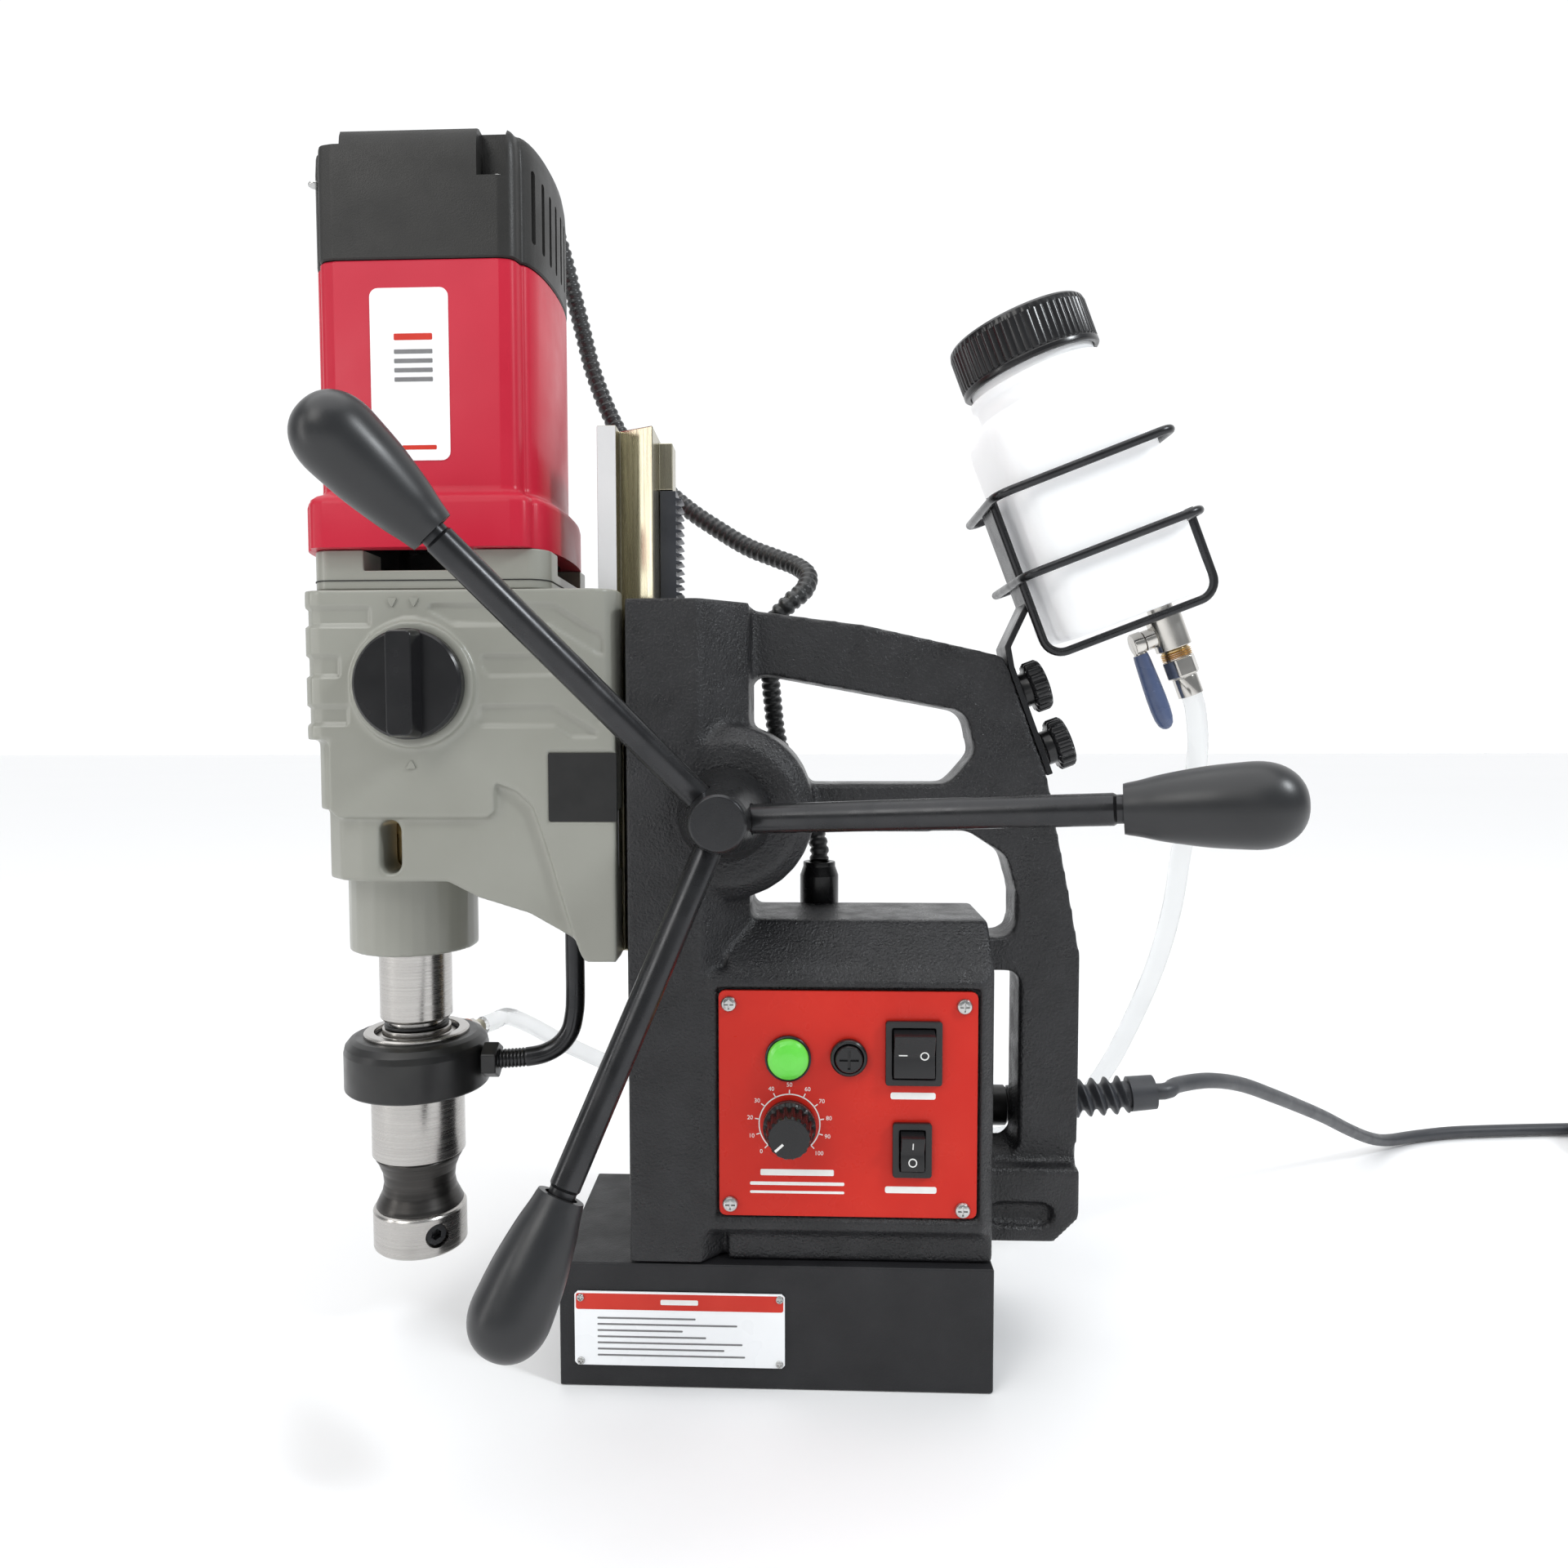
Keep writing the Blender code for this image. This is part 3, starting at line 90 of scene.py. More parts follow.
def loft(rings, closed=False):
    """A skin over rings of equal length; its ends are capped, or joined to each other when closed."""
    bm = bmesh.new()
    made = [[bm.verts.new(point) for point in ring] for ring in rings]
    pairs = list(zip(made, made[1:]))
    if closed:
        pairs.append((made[-1], made[0]))
    else:
        bm.faces.new(made[0])
        bm.faces.new(made[-1])
    for lower, upper in pairs:
        for i in range(len(lower)):
            j = (i + 1) % len(lower)
            bm.faces.new((lower[i], lower[j], upper[j], upper[i]))
    bmesh.ops.recalc_face_normals(bm, faces=bm.faces)
    return bm


PLACE = {
    "X": lambda a, b, h: Vector((h, a, b)),
    "Y": lambda a, b, h: Vector((a, h, b)),
    "Z": lambda a, b, h: Vector((a, b, h)),
}


def prism(outline, low, high, axis="Z"):
    """An outline extruded along an axis: (x, y) along Z, (x, z) along Y, (y, z) along X."""
    place = PLACE[axis]
    return loft([[place(a, b, h) for a, b in outline] for h in (low, high)])


def block(x, y, z):
    return prism(rectangle(x[0], x[1], y[0], y[1]), z[0], z[1])


def moved(bm, origin, direction):
    """Turns a shape's +Z to the direction and its zero to the origin."""
    turn = UP.rotation_difference(Vector(direction).normalized())
    bm.transform(Matrix.Translation(Vector(origin)) @ turn.to_matrix().to_4x4())
    return bm


def turned(profile, origin=(0, 0, 0), direction=UP, sides=64, hollow=False, fillet=0.0, flutes=None):
    """A (radius, height) profile turned about a line, with its corners rounded. flutes is
    (count, depth, lowest, highest): the ribs round its rim between two heights."""
    if fillet:
        profile = rounded(profile, fillet, 3, closed=hollow)
    bm = bmesh.new()
    rings = []
    for radius, height in profile:
        if radius < 1e-6:
            rings.append([bm.verts.new((0, 0, height))])
            continue
        ring = []
        for i in range(sides):
            a = 2 * math.pi * i / sides
            here = radius
            if flutes and flutes[2] <= height <= flutes[3]:
                here -= flutes[1] * (0.5 - 0.5 * math.cos(a * flutes[0])) ** 2
            ring.append(bm.verts.new((here * math.cos(a), here * math.sin(a), height)))
        rings.append(ring)
    pairs = list(zip(rings, rings[1:]))
    if hollow:
        pairs.append((rings[-1], rings[0]))
    for first, second in pairs:
        if len(first) == len(second) == 1:
            continue
        for i in range(sides):
            j = (i + 1) % sides
            corners = [first[i % len(first)], first[j % len(first)]]
            corners += [second[j % len(second)], second[i % len(second)]]
            bm.faces.new(list(dict.fromkeys(corners)))
    bmesh.ops.recalc_face_normals(bm, faces=bm.faces)
    return moved(bm, origin, direction)


def rod(radius, low, high, origin=(0, 0, 0), direction=UP, sides=48, fillet=0.3):
    profile = [(0, low), (radius, low), (radius, high), (0, high)]
    return turned(profile, origin, direction, sides, fillet=fillet)


def tube(points, radius, sides=14, closed=False):
    """A round bar along points; the radius is one number, or one for each point."""
    points = [Vector(p) for p in points]
    count = len(points)
    radii = radius if isinstance(radius, list) else [radius] * count
    side, rings = None, []
    for i, point in enumerate(points):
        before = points[i - 1] if closed or i else point
        after = points[(i + 1) % count] if closed or i + 1 < count else point
        along = (after - before).normalized()
        side = along.orthogonal() if side is None else side
        side = (side - along * side.dot(along)).normalized()
        up = along.cross(side)
        angles = [2 * math.pi * k / sides for k in range(sides)]
        rings.append([point + (side * math.cos(a) + up * math.sin(a)) * radii[i] for a in angles])
    return loft(rings, closed)


def smooth_path(points, spacing):
    """Points at an even spacing on a smooth curve through the given ones."""
    given = [Vector(p) for p in points]
    given = [2 * given[0] - given[1]] + given + [2 * given[-1] - given[-2]]
    fine = []
    for a, b, c, d in zip(given, given[1:], given[2:], given[3:]):
        for step in range(24):
            t = step / 24
            bend = (2 * a - 5 * b + 4 * c - d) * t**2 + (3 * b - 3 * c + d - a) * t**3
            fine.append(0.5 * (2 * b + (c - a) * t + bend))
    fine.append(given[-2])
    lengths = [(q - p).length for p, q in zip(fine, fine[1:])]
    pieces = max(2, round(sum(lengths) / spacing))
    even, walked, index = [fine[0]], 0.0, 0
    for k in range(1, pieces):
        target = sum(lengths) * k / pieces
        while walked + lengths[index] < target:
            walked += lengths[index]
            index += 1
        even.append(fine[index].lerp(fine[index + 1], (target - walked) / lengths[index]))
    return even + [fine[-1]]


def length_of(points):
    return sum((q - p).length for p, q in zip(points, points[1:]))


def joined(*shapes):
    """Several shapes in one mesh, as they are."""
    whole = shapes[0]
    for other in shapes[1:]:
        mesh = bpy.data.meshes.new("join")
        other.to_mesh(mesh)
        other.free()
        whole.from_mesh(mesh)
        bpy.data.meshes.remove(mesh)
    return whole


def loose(bm):
    mesh = bpy.data.meshes.new("loose")
    bm.to_mesh(mesh)
    bm.free()
    obj = bpy.data.objects.new("loose", mesh)
    bpy.context.scene.collection.objects.link(obj)
    return obj


def evaluated(obj, helpers=()):
    """The shape that an object's modifiers make; the object and its helpers go."""
    graph = bpy.context.evaluated_depsgraph_get()
    graph.update()
    made = bmesh.new()
    made.from_mesh(obj.evaluated_get(graph).to_mesh())
    for old in (obj, *helpers):
        bpy.data.objects.remove(old)
    return made


def combined(bm, cuts=(), adds=()):
    """A shape with others added, then others cut away."""
    base, tools = loose(bm), []
    for operation, shapes in (("UNION", adds), ("DIFFERENCE", cuts)):
        for shape in shapes:
            tools.append(loose(shape))
            step = base.modifiers.new("step", "BOOLEAN")
            step.operation, step.object = operation, tools[-1]
    return evaluated(base, tools)


def cast(bm, voxel, rounds):
    """Fuses overlapping shapes into one skin and softens its edges, as a casting's are."""
    base = loose(bm)
    remesh = base.modifiers.new("remesh", "REMESH")
    remesh.mode, remesh.voxel_size = "VOXEL", voxel
    soften = base.modifiers.new("soften", "SMOOTH")
    soften.factor, soften.iterations = 0.5, rounds
    return evaluated(base)


def node_shape(name):
    """A CAD node's shape in millimetres, with its flat faces whole again."""
    bm = bmesh.new()
    bm.from_mesh(NODES[name].data)
    bmesh.ops.scale(bm, vec=(1 / MM,) * 3, verts=bm.verts)
    bmesh.ops.remove_doubles(bm, verts=bm.verts, dist=0.004)
    bmesh.ops.dissolve_limit(bm, angle_limit=math.radians(1), verts=bm.verts, edges=bm.edges)
    return bm


def pressed(bm, depth, share):
    """Pushes each vertex in along its normal by depth times share(place, normal)."""
    bm.normal_update()
    moves = [(v, v.normal * depth * share(v.co, v.normal)) for v in bm.verts]
    for vertex, move in moves:
        vertex.co -= move
    return bm


def depth_inside(x, z, outline):
    """How far a point is inside an outline: negative outside."""
    inside, near = False, 1e9
    for (ax, az), (bx, bz) in zip(outline, outline[1:] + outline[:1]):
        if (az > z) != (bz > z) and x < (bx - ax) * (z - az) / (bz - az) + ax:
            inside = not inside
        dx, dz = bx - ax, bz - az
        t = max(0.0, min(1.0, ((x - ax) * dx + (z - az) * dz) / max(dx * dx + dz * dz, 1e-9)))
        near = min(near, math.hypot(x - ax - t * dx, z - az - t * dz))
    return near if inside else -near


def step_up(value, width):
    t = max(0.0, min(1.0, value / width))
    return t * t * (3 - 2 * t)


# ---------------------------------------------------------------- materials


def surface(name, colour, rough, metal=0.0, mottle=None, vary=0.0, bumps=(), stretch=None, **sockets):
    """A procedural finish. mottle is (scale, second colour, contrast), vary the spread of the
    roughness, bumps (kind, scale, strength, depth in mm), stretch the grain's own direction."""
    made = bpy.data.materials.new(name)
    made.use_nodes = True
    tree = made.node_tree
    shader = tree.nodes["Principled BSDF"]
    shader.inputs["Base Color"].default_value = (*colour, 1)
    shader.inputs["Roughness"].default_value = rough
    shader.inputs["Metallic"].default_value = metal
    for key, value in sockets.items():
        shader.inputs[key.replace("_", " ")].default_value = value
    where = tree.nodes.new("ShaderNodeTexCoord").outputs["Object"]
    if stretch:
        mapping = tree.nodes.new("ShaderNodeMapping")
        mapping.inputs["Scale"].default_value = stretch
        tree.links.new(where, mapping.inputs["Vector"])
        where = mapping.outputs["Vector"]

    def noise(scale, detail=3.0):
        node = tree.nodes.new("ShaderNodeTexNoise")
        node.inputs["Scale"].default_value = scale
        node.inputs["Detail"].default_value = detail
        tree.links.new(where, node.inputs["Vector"])
        return node.outputs["Fac"]

    if mottle:
        scale, second, contrast = mottle
        ramp = tree.nodes.new("ShaderNodeValToRGB")
        ramp.color_ramp.elements[0].position = 0.5 - 0.5 * contrast
        ramp.color_ramp.elements[1].position = 0.5 + 0.5 * contrast
        ramp.color_ramp.elements[0].color = (*colour, 1)
        ramp.color_ramp.elements[1].color = (*second, 1)
        tree.links.new(noise(scale), ramp.inputs["Fac"])
        tree.links.new(ramp.outputs["Color"], shader.inputs["Base Color"])
    if vary:
        spread = tree.nodes.new("ShaderNodeMapRange")
        spread.inputs["From Min"].default_value, spread.inputs["From Max"].default_value = 0.3, 0.7
        spread.inputs["To Min"].default_value = max(0.03, rough - vary)
        spread.inputs["To Max"].default_value = min(1.0, rough + vary)
        tree.links.new(noise(90.0 if not mottle else mottle[0] * 1.7), spread.inputs["Value"])
        tree.links.new(spread.outputs["Result"], shader.inputs["Roughness"])
    normal = None
    for kind, scale, strength, depth in bumps:
        if kind == "noise":
            height = noise(scale, 2.0)
        else:
            cells = tree.nodes.new("ShaderNodeTexVoronoi")
            cells.inputs["Scale"].default_value = scale
            tree.links.new(where, cells.inputs["Vector"])
            height = cells.outputs["Distance"]
        bump = tree.nodes.new("ShaderNodeBump")
        bump.inputs["Strength"].default_value = strength
        bump.inputs["Distance"].default_value = depth * MM
        tree.links.new(height, bump.inputs["Height"])
        if normal:
            tree.links.new(normal, bump.inputs["Normal"])
        normal = bump.outputs["Normal"]
    if normal:
        tree.links.new(normal, shader.inputs["Normal"])
    return made


CAST_BLACK = surface(
    "cast_black_paint", (0.010, 0.010, 0.011), 0.34, mottle=(70, (0.020, 0.020, 0.022), 0.5), vary=0.10,
    bumps=[("noise", 950, 0.95, 0.55), ("noise", 2300, 0.7, 0.25), ("noise", 260, 0.35, 0.5)],
    Specular_IOR_Level=0.42,
)
BASE_BLACK = surface(
    "magnet_black_paint", (0.012, 0.012, 0.0135), 0.45, mottle=(45, (0.020, 0.020, 0.022), 0.5), vary=0.08,
    bumps=[("noise", 1500, 0.55, 0.22), ("noise", 300, 0.25, 0.3)], Specular_IOR_Level=0.32,
)
GREY_CAST = surface(
    "gearbox_grey_paint", (0.255, 0.256, 0.222), 0.34, mottle=(26, (0.295, 0.297, 0.262), 0.6), vary=0.06,
    bumps=[("noise", 700, 0.22, 0.12), ("noise", 120, 0.18, 0.3)], Specular_IOR_Level=0.55, Coat_Weight=0.15,
)
MOTOR_RED = surface(
    "motor_red_shell", (0.47, 0.014, 0.036), 0.34, mottle=(30, (0.52, 0.022, 0.046), 0.6), vary=0.05,
    bumps=[("noise", 1600, 0.16, 0.10)], Specular_IOR_Level=0.22,
)
PANEL_RED = surface(
    "panel_red_film", (0.56, 0.018, 0.010), 0.30, mottle=(60, (0.60, 0.026, 0.014), 0.7), vary=0.05,
    bumps=[("noise", 2600, 0.10, 0.05)], Specular_IOR_Level=0.22,
)
CAP_BLACK = surface(
    "moulded_black_plastic", (0.016, 0.0155, 0.015), 0.46, mottle=(40, (0.025, 0.0245, 0.023), 0.6),
    vary=0.06,
    bumps=[("voronoi", 1700, 0.30, 0.12)], Specular_IOR_Level=0.36,
)
GLOSS_BLACK = surface(
    "gloss_black_plastic", (0.009, 0.009, 0.010), 0.24, mottle=(50, (0.014, 0.014, 0.015), 0.6), vary=0.05,
    bumps=[("noise", 500, 0.10, 0.06)], Specular_IOR_Level=0.4,
)
KNOB_BLACK = surface(
    "knob_black_bakelite", (0.013, 0.0135, 0.015), 0.36, mottle=(35, (0.021, 0.022, 0.0235), 0.6), vary=0.05,
    bumps=[("noise", 1300, 0.14, 0.08)], Specular_IOR_Level=0.46,
)
ROD_BLACK = surface(
    "blackened_steel_rod", (0.030, 0.031, 0.033), 0.27, 0.75, mottle=(60, (0.046, 0.046, 0.048), 0.5),
    vary=0.07,
    bumps=[("noise", 900, 0.16, 0.08)],
)
RING_BLACK = surface(
    "ring_black_oxide", (0.013, 0.013, 0.014), 0.36, 0.25, mottle=(55, (0.026, 0.026, 0.025), 0.5), vary=0.08,
    bumps=[("noise", 1200, 0.16, 0.08)],
)
TURNED_STEEL = surface(
    "turned_steel", (0.50, 0.485, 0.465), 0.26, 1.0, mottle=(14, (0.40, 0.385, 0.37), 0.7), vary=0.06,
    bumps=[("noise", 30, 0.10, 0.05)], stretch=(1, 1, 90),
)
WAIST_STEEL = surface(
    "blackened_arbor_steel", (0.075, 0.071, 0.068), 0.36, 0.9, mottle=(14, (0.045, 0.043, 0.041), 0.7),
    vary=0.07,
    bumps=[("noise", 30, 0.10, 0.05)], stretch=(1, 1, 60),
)
GROUND_STEEL = surface(
    "ground_steel_plate", (0.90, 0.90, 0.90), 0.24, 0.35, mottle=(12, (0.84, 0.84, 0.84), 0.7), vary=0.05,
    bumps=[("noise", 22, 0.08, 0.04)], stretch=(1, 40, 1),
)
RAIL_STEEL = surface(
    "dovetail_steel", (0.47, 0.44, 0.33), 0.26, 1.0, mottle=(16, (0.36, 0.33, 0.25), 0.7), vary=0.07,
    bumps=[("noise", 26, 0.10, 0.05)], stretch=(40, 40, 1),
)
RACK_STEEL = surface(
    "rack_black_steel", (0.07, 0.073, 0.085), 0.36, 0.8, mottle=(60, (0.12, 0.125, 0.14), 0.5), vary=0.08,
    bumps=[("noise", 800, 0.15, 0.08)],
)
BRASS = surface(
    "bearing_brass", (0.70, 0.50, 0.22), 0.28, 1.0, mottle=(30, (0.58, 0.40, 0.18), 0.6), vary=0.08,
    bumps=[("noise", 400, 0.10, 0.05)],
)
NICKEL = surface(
    "valve_nickel_plate", (0.66, 0.64, 0.60), 0.20, 1.0, mottle=(40, (0.54, 0.52, 0.49), 0.6), vary=0.06,
    bumps=[("noise", 700, 0.08, 0.04)],
)
SCREW_STEEL = surface(
    "zinc_screw_steel", (0.62, 0.62, 0.61), 0.28, 1.0, mottle=(120, (0.46, 0.46, 0.45), 0.6), vary=0.08,
    bumps=[("noise", 1500, 0.12, 0.04)],
)
COPPER = surface(
    "winding_copper_wire", (0.62, 0.24, 0.10), 0.32, 1.0, mottle=(200, (0.50, 0.18, 0.08), 0.5), vary=0.08,
    bumps=[("noise", 70, 0.5, 0.2)], stretch=(1, 1, 14),
)
POTTING = surface(
    "potting_resin", (0.02, 0.02, 0.022), 0.30, mottle=(30, (0.03, 0.03, 0.032), 0.6), vary=0.06,
    bumps=[("noise", 220, 0.15, 0.2)],
)
BOARD_GREEN = surface(
    "circuit_board_green", (0.02, 0.16, 0.06), 0.40, mottle=(300, (0.03, 0.22, 0.09), 0.3), vary=0.06,
    bumps=[("voronoi", 500, 0.3, 0.1)],
)
LENS_GREEN = surface(
    "pilot_lens_green", (0.12, 0.62, 0.06), 0.22, mottle=(90, (0.16, 0.70, 0.09), 0.6), vary=0.04,
    bumps=[("voronoi", 800, 0.35, 0.15)], Emission_Color=(0.12, 0.70, 0.06, 1), Emission_Strength=0.12,
)
LABEL_METAL = surface(
    "label_plate_film", (0.90, 0.92, 0.94), 0.30, mottle=(25, (0.94, 0.955, 0.97), 0.7), vary=0.05,
    bumps=[("noise", 400, 0.08, 0.05)],
)
LABEL_RED = surface(
    "label_header_red", (0.56, 0.030, 0.018), 0.34, mottle=(60, (0.62, 0.045, 0.028), 0.6), vary=0.05,
    bumps=[("noise", 1500, 0.08, 0.04)], Specular_IOR_Level=0.25,
)
PRINT_WHITE = surface(
    "printed_white", (0.86, 0.86, 0.84), 0.42, mottle=(400, (0.80, 0.80, 0.78), 0.6), vary=0.05,
    bumps=[("noise", 3000, 0.08, 0.03)],
)
PRINT_GREY = surface(
    "printed_grey", (0.16, 0.16, 0.165), 0.45, mottle=(400, (0.20, 0.20, 0.205), 0.6), vary=0.05,
    bumps=[("noise", 3000, 0.08, 0.03)],
)
STICKER = surface(
    "motor_sticker_white", (0.93, 0.93, 0.94), 0.28, mottle=(40, (0.90, 0.90, 0.91), 0.7), vary=0.04,
    bumps=[("noise", 300, 0.05, 0.04)],
)
BOTTLE_WHITE_PAINTED_GLOW = surface(
    "bottle_polyethylene_painted_glow", (0.985, 0.99, 1.0), 0.36, mottle=(18, (0.965, 0.975, 0.99), 0.7), vary=0.05,
    bumps=[("noise", 500, 0.12, 0.10), ("noise", 60, 0.15, 0.4)],
    Subsurface_Weight=0.35, Subsurface_Radius=(0.012, 0.012, 0.013), Subsurface_Scale=1.0,
    # The emission is a painted glow: the bottle lights itself without any lamp.
    Emission_Color=(0.95, 0.97, 1.0, 1), Emission_Strength=0.10,
)
HOSE_CLEAR = surface(
    "clear_vinyl_hose", (0.95, 0.96, 0.96), 0.16, mottle=(60, (0.91, 0.925, 0.93), 0.7), vary=0.05,
    bumps=[("noise", 300, 0.08, 0.1)], Transmission_Weight=0.85, IOR=1.22,
)
LEAD_RUBBER = surface(
    "lead_black_rubber", (0.030, 0.032, 0.037), 0.44, mottle=(80, (0.045, 0.047, 0.053), 0.6), vary=0.06,
    bumps=[("noise", 1400, 0.2, 0.08)],
)
CONDUIT_BLACK = surface(
    "conduit_black_nylon", (0.026, 0.027, 0.028), 0.34, mottle=(80, (0.040, 0.041, 0.042), 0.6), vary=0.06,
    bumps=[("noise", 1000, 0.14, 0.06)],
)
VINYL_BLUE = surface(
    "lever_blue_vinyl", (0.060, 0.085, 0.170), 0.26, mottle=(90, (0.085, 0.115, 0.21), 0.6), vary=0.06,
    bumps=[("noise", 600, 0.15, 0.08)],
)
# Flat black for two uses: a painted shadow on the gearbox front, and the motor flange's gasket line.
SHADE_AND_GASKET_BLACK = surface(
    "painted_shade_and_gasket_black", (0.014, 0.014, 0.014), 0.55, mottle=(90, (0.022, 0.022, 0.022), 0.6), vary=0.06,
    bumps=[("noise", 1800, 0.25, 0.08)], Specular_IOR_Level=0.3,
)
PINK_WASHER = surface(
    "fibre_washer", (0.62, 0.30, 0.20), 0.5, mottle=(200, (0.54, 0.25, 0.17), 0.6), vary=0.05,
    bumps=[("noise", 1200, 0.2, 0.06)],
)
IVORY = surface(
    "ivory_nylon", (0.72, 0.68, 0.55), 0.36, mottle=(120, (0.66, 0.62, 0.50), 0.6), vary=0.05,
    bumps=[("noise", 900, 0.12, 0.06)],
)

# ---------------------------------------------------------------- pieces


def shape(name, bm, body, look, slot=None, nodes=(), bevel=0.0, segments=2, sharp=35.0):
    """A piece of the object that rides on a CAD body, and stands for the CAD nodes it replaces."""
    for vertex in bm.verts:
        vertex.co *= MM
    mesh = bpy.data.meshes.new(name)
    bm.to_mesh(mesh)
    bm.free()
    obj = bpy.data.objects.new(name, mesh)
    bpy.context.scene.collection.objects.link(obj)
    mesh.materials.append(look)
    mesh.shade_smooth()
    if bevel:
        edges = obj.modifiers.new("edges", "BEVEL")
        edges.width, edges.segments = bevel * MM, segments
        edges.limit_method, edges.angle_limit = "ANGLE", math.radians(30)
        edges.miter_outer = "MITER_ARC"
        obj.modifiers.new("normals", "WEIGHTED_NORMAL")
    else:
        mesh.set_sharp_from_angle(angle=math.radians(sharp))
    if nodes:
        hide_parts(*nodes)
    if body:
        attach(obj, body)
    return obj


def finished(node, body, look, slot, bevel=0.3, cuts=(), adds=()):
    """A CAD node's own shape with its edges broken and its real finish."""
    bm = node_shape(node)
    if cuts or adds:
        bm = combined(bm, cuts, adds)
    return shape(f"{node}_finished", bm, body, look, slot, [node], bevel)


def kept(node, look):
    """A CAD node that shows as it is, with a better material."""
    mesh = NODES[node].data
    mesh.materials.clear()
    mesh.materials.append(look)


# ---------------------------------------------------------------- camera

FOCAL_MM, SENSOR_MM = 24.958, 36.0
YAW, PITCH, ROLL = math.radians(2.30), math.radians(-3.134), math.radians(-0.142)


def camera():
    data = bpy.data.cameras.new("camera")
    data.sensor_width, data.lens = SENSOR_MM, FOCAL_MM
    data.shift_x, data.shift_y = 0.0189, 0.0002
    data.clip_start, data.clip_end = 0.01, 50
    obj = bpy.data.objects.new("camera", data)
    bpy.context.scene.collection.objects.link(obj)
    along = Vector((-math.cos(PITCH) * math.sin(YAW), math.cos(PITCH) * math.cos(YAW), math.sin(PITCH)))
    turn = along.to_track_quat("-Z", "Y").to_matrix() @ Matrix.Rotation(ROLL, 3, "Z")
    obj.matrix_world = Matrix.Translation((0.00887, -0.44795, 0.25586)) @ turn.to_4x4()
    bpy.context.scene.camera = obj


camera()

# ---------------------------------------------------------------- cords

CORD, CONDUIT, HOSE = 7.0, 8.5, 8.0
COIL_AT, COIL_RADII = Vector((526.0, 190.0, 0)), (47.0, 40.0, 33.0)
RELIEF_ROOT, RELIEF_TIP = Vector((101.2, 25, 89.4)), Vector((163.8, 25, 95.5))
BOTTLE_ORIGIN = Vector((137.3, 0.0, 294.4))
ALONG_U, ALONG_V = Vector((0.9348, 0.0, 0.3551)), Vector((-0.3551, 0.0, 0.9348))
BARB_OUT = Vector((math.cos(math.radians(65)), math.sin(math.radians(65)), 0))
SPINDLE_AT, GRUB_AT, RING_BARB = [Vector((-152.3, 0, z)) for z in (0, 45, 119)]
GRUB_OUT = Vector((12.3, -14.7, 0))
STAY_ROOT = (-122.2, -5, 116.4)


def leaning(u, y, v):
    """A place in the bottle's leaning frame."""
    return BOTTLE_ORIGIN + ALONG_U * u + ALONG_V * v + Vector((0, y, 0))


def coil_turns():
    """The wound part of the lead: turns beside and on each other, hopping to the next near the top."""
    outer, middle, inner = COIL_RADII
    lanes = [(r, 3.7) for r in (outer, middle, inner)] + [(r, 10.7) for r in (inner, middle, outer)]
    lanes += [(outer, 17.7), (middle, 17.7)]
    points = []
    for (radius, z), (next_radius, next_z) in zip(lanes, lanes[1:]):
        for step in range(36):
            share = step / 36
            hop = step_up(share - 0.75, 0.25)
            here = radius + (next_radius - radius) * hop
            angle = math.pi / 2 - 2 * math.pi * share
            rise = z + (next_z - z) * hop
            points.append(COIL_AT + Vector((here * math.cos(angle), here * math.sin(angle), rise)))
    radius, z = lanes[-1]
    for step in range(46):
        angle = math.pi / 2 - 2 * math.pi * step / 36
        points.append(COIL_AT + Vector((radius * math.cos(angle), radius * math.sin(angle), z)))
    return points


def mains_lead():
    run = [RELIEF_ROOT.lerp(RELIEF_TIP, share) for share in (1.011, 1.1)]
    run += [(176.6, 32, 96.4), (196, 47, 93.6), (219, 68, 84.9), (244.8, 92, 71.3), (268, 116, 58)]
    run += [(292, 140, 44), (320, 168, 26.5), (343, 190, 13.5), (362, 206, 6.2), (385, 219, 3.8),
        (410, 226.5, 3.7)]
    run += [(435, 230.2, 3.7), (460, 232.8, 3.7), (485, 234.9, 3.7), (507, 236.3, 3.7)]
    path = smooth_path([*run, *coil_turns(), COIL_AT + Vector((40, -1.5, 17.8))], 3.5)
    lead = shape("mains_lead", tube(path, CORD / 2, 16), "stand", LEAD_RUBBER, "lead_rubber",
                 ["mains_cord", "mains_coil"])
    start = COIL_AT + Vector((40, -38.6, 17.8))
    sleeve = [(0, 0), (4.6, 0), (5.2, 7), (6.2, 13), (8, 18), (13.4, 23.5), (16.6, 31), (17.4, 38),
        (17.3, 46), (16.4, 50), (0, 50)]
    body = turned(sleeve, start, FRONT, 64, fillet=1.5)
    face = turned([(0, 49.8), (15.2, 49.8), (15.2, 50.4), (0, 50.4)], start, FRONT, 64, fillet=0.2)
    pins = [turned([(0, 49), (2.4, 49), (2.4, 66), (1.8, 68), (0, 68)], start + RIGHT * dx, FRONT, 24,
        fillet=0.6)
            for dx in (-9.5, 9.5)]
    plug = shape("mains_plug_body", body, "stand", CAP_BLACK, "black_plastic", ["mains_plug"])
    contacts = shape("mains_plug_pins", joined(*pins), "stand", NICKEL, "valve_nickel")
    ribs = [turned([(17.1, 32 + 3 * k), (17.9, 33 + 3 * k), (17.1, 34 + 3 * k)], start, FRONT, 48,
        hollow=True) for k in range(4)]
    grip = shape("mains_plug_grip", joined(face, *ribs), "stand", CAP_BLACK, "black_plastic")
    tie_at = COIL_AT + Vector((-40 * math.cos(0.5), -40 * math.sin(0.5), 10.7))
    out = (tie_at - COIL_AT - Vector((0, 0, 10.7))).normalized()
    loop = [tie_at + out * a + UP * b for a,
        b in rounded([(-11.3, -10.2), (11.3, -10.2), (11.3, 11.2), (-11.3, 11.2)], 5, 6)]
    band = shape("lead_tie", tube(loop, 0.9, 10, closed=True), "stand", GLOSS_BLACK, "black_plastic")


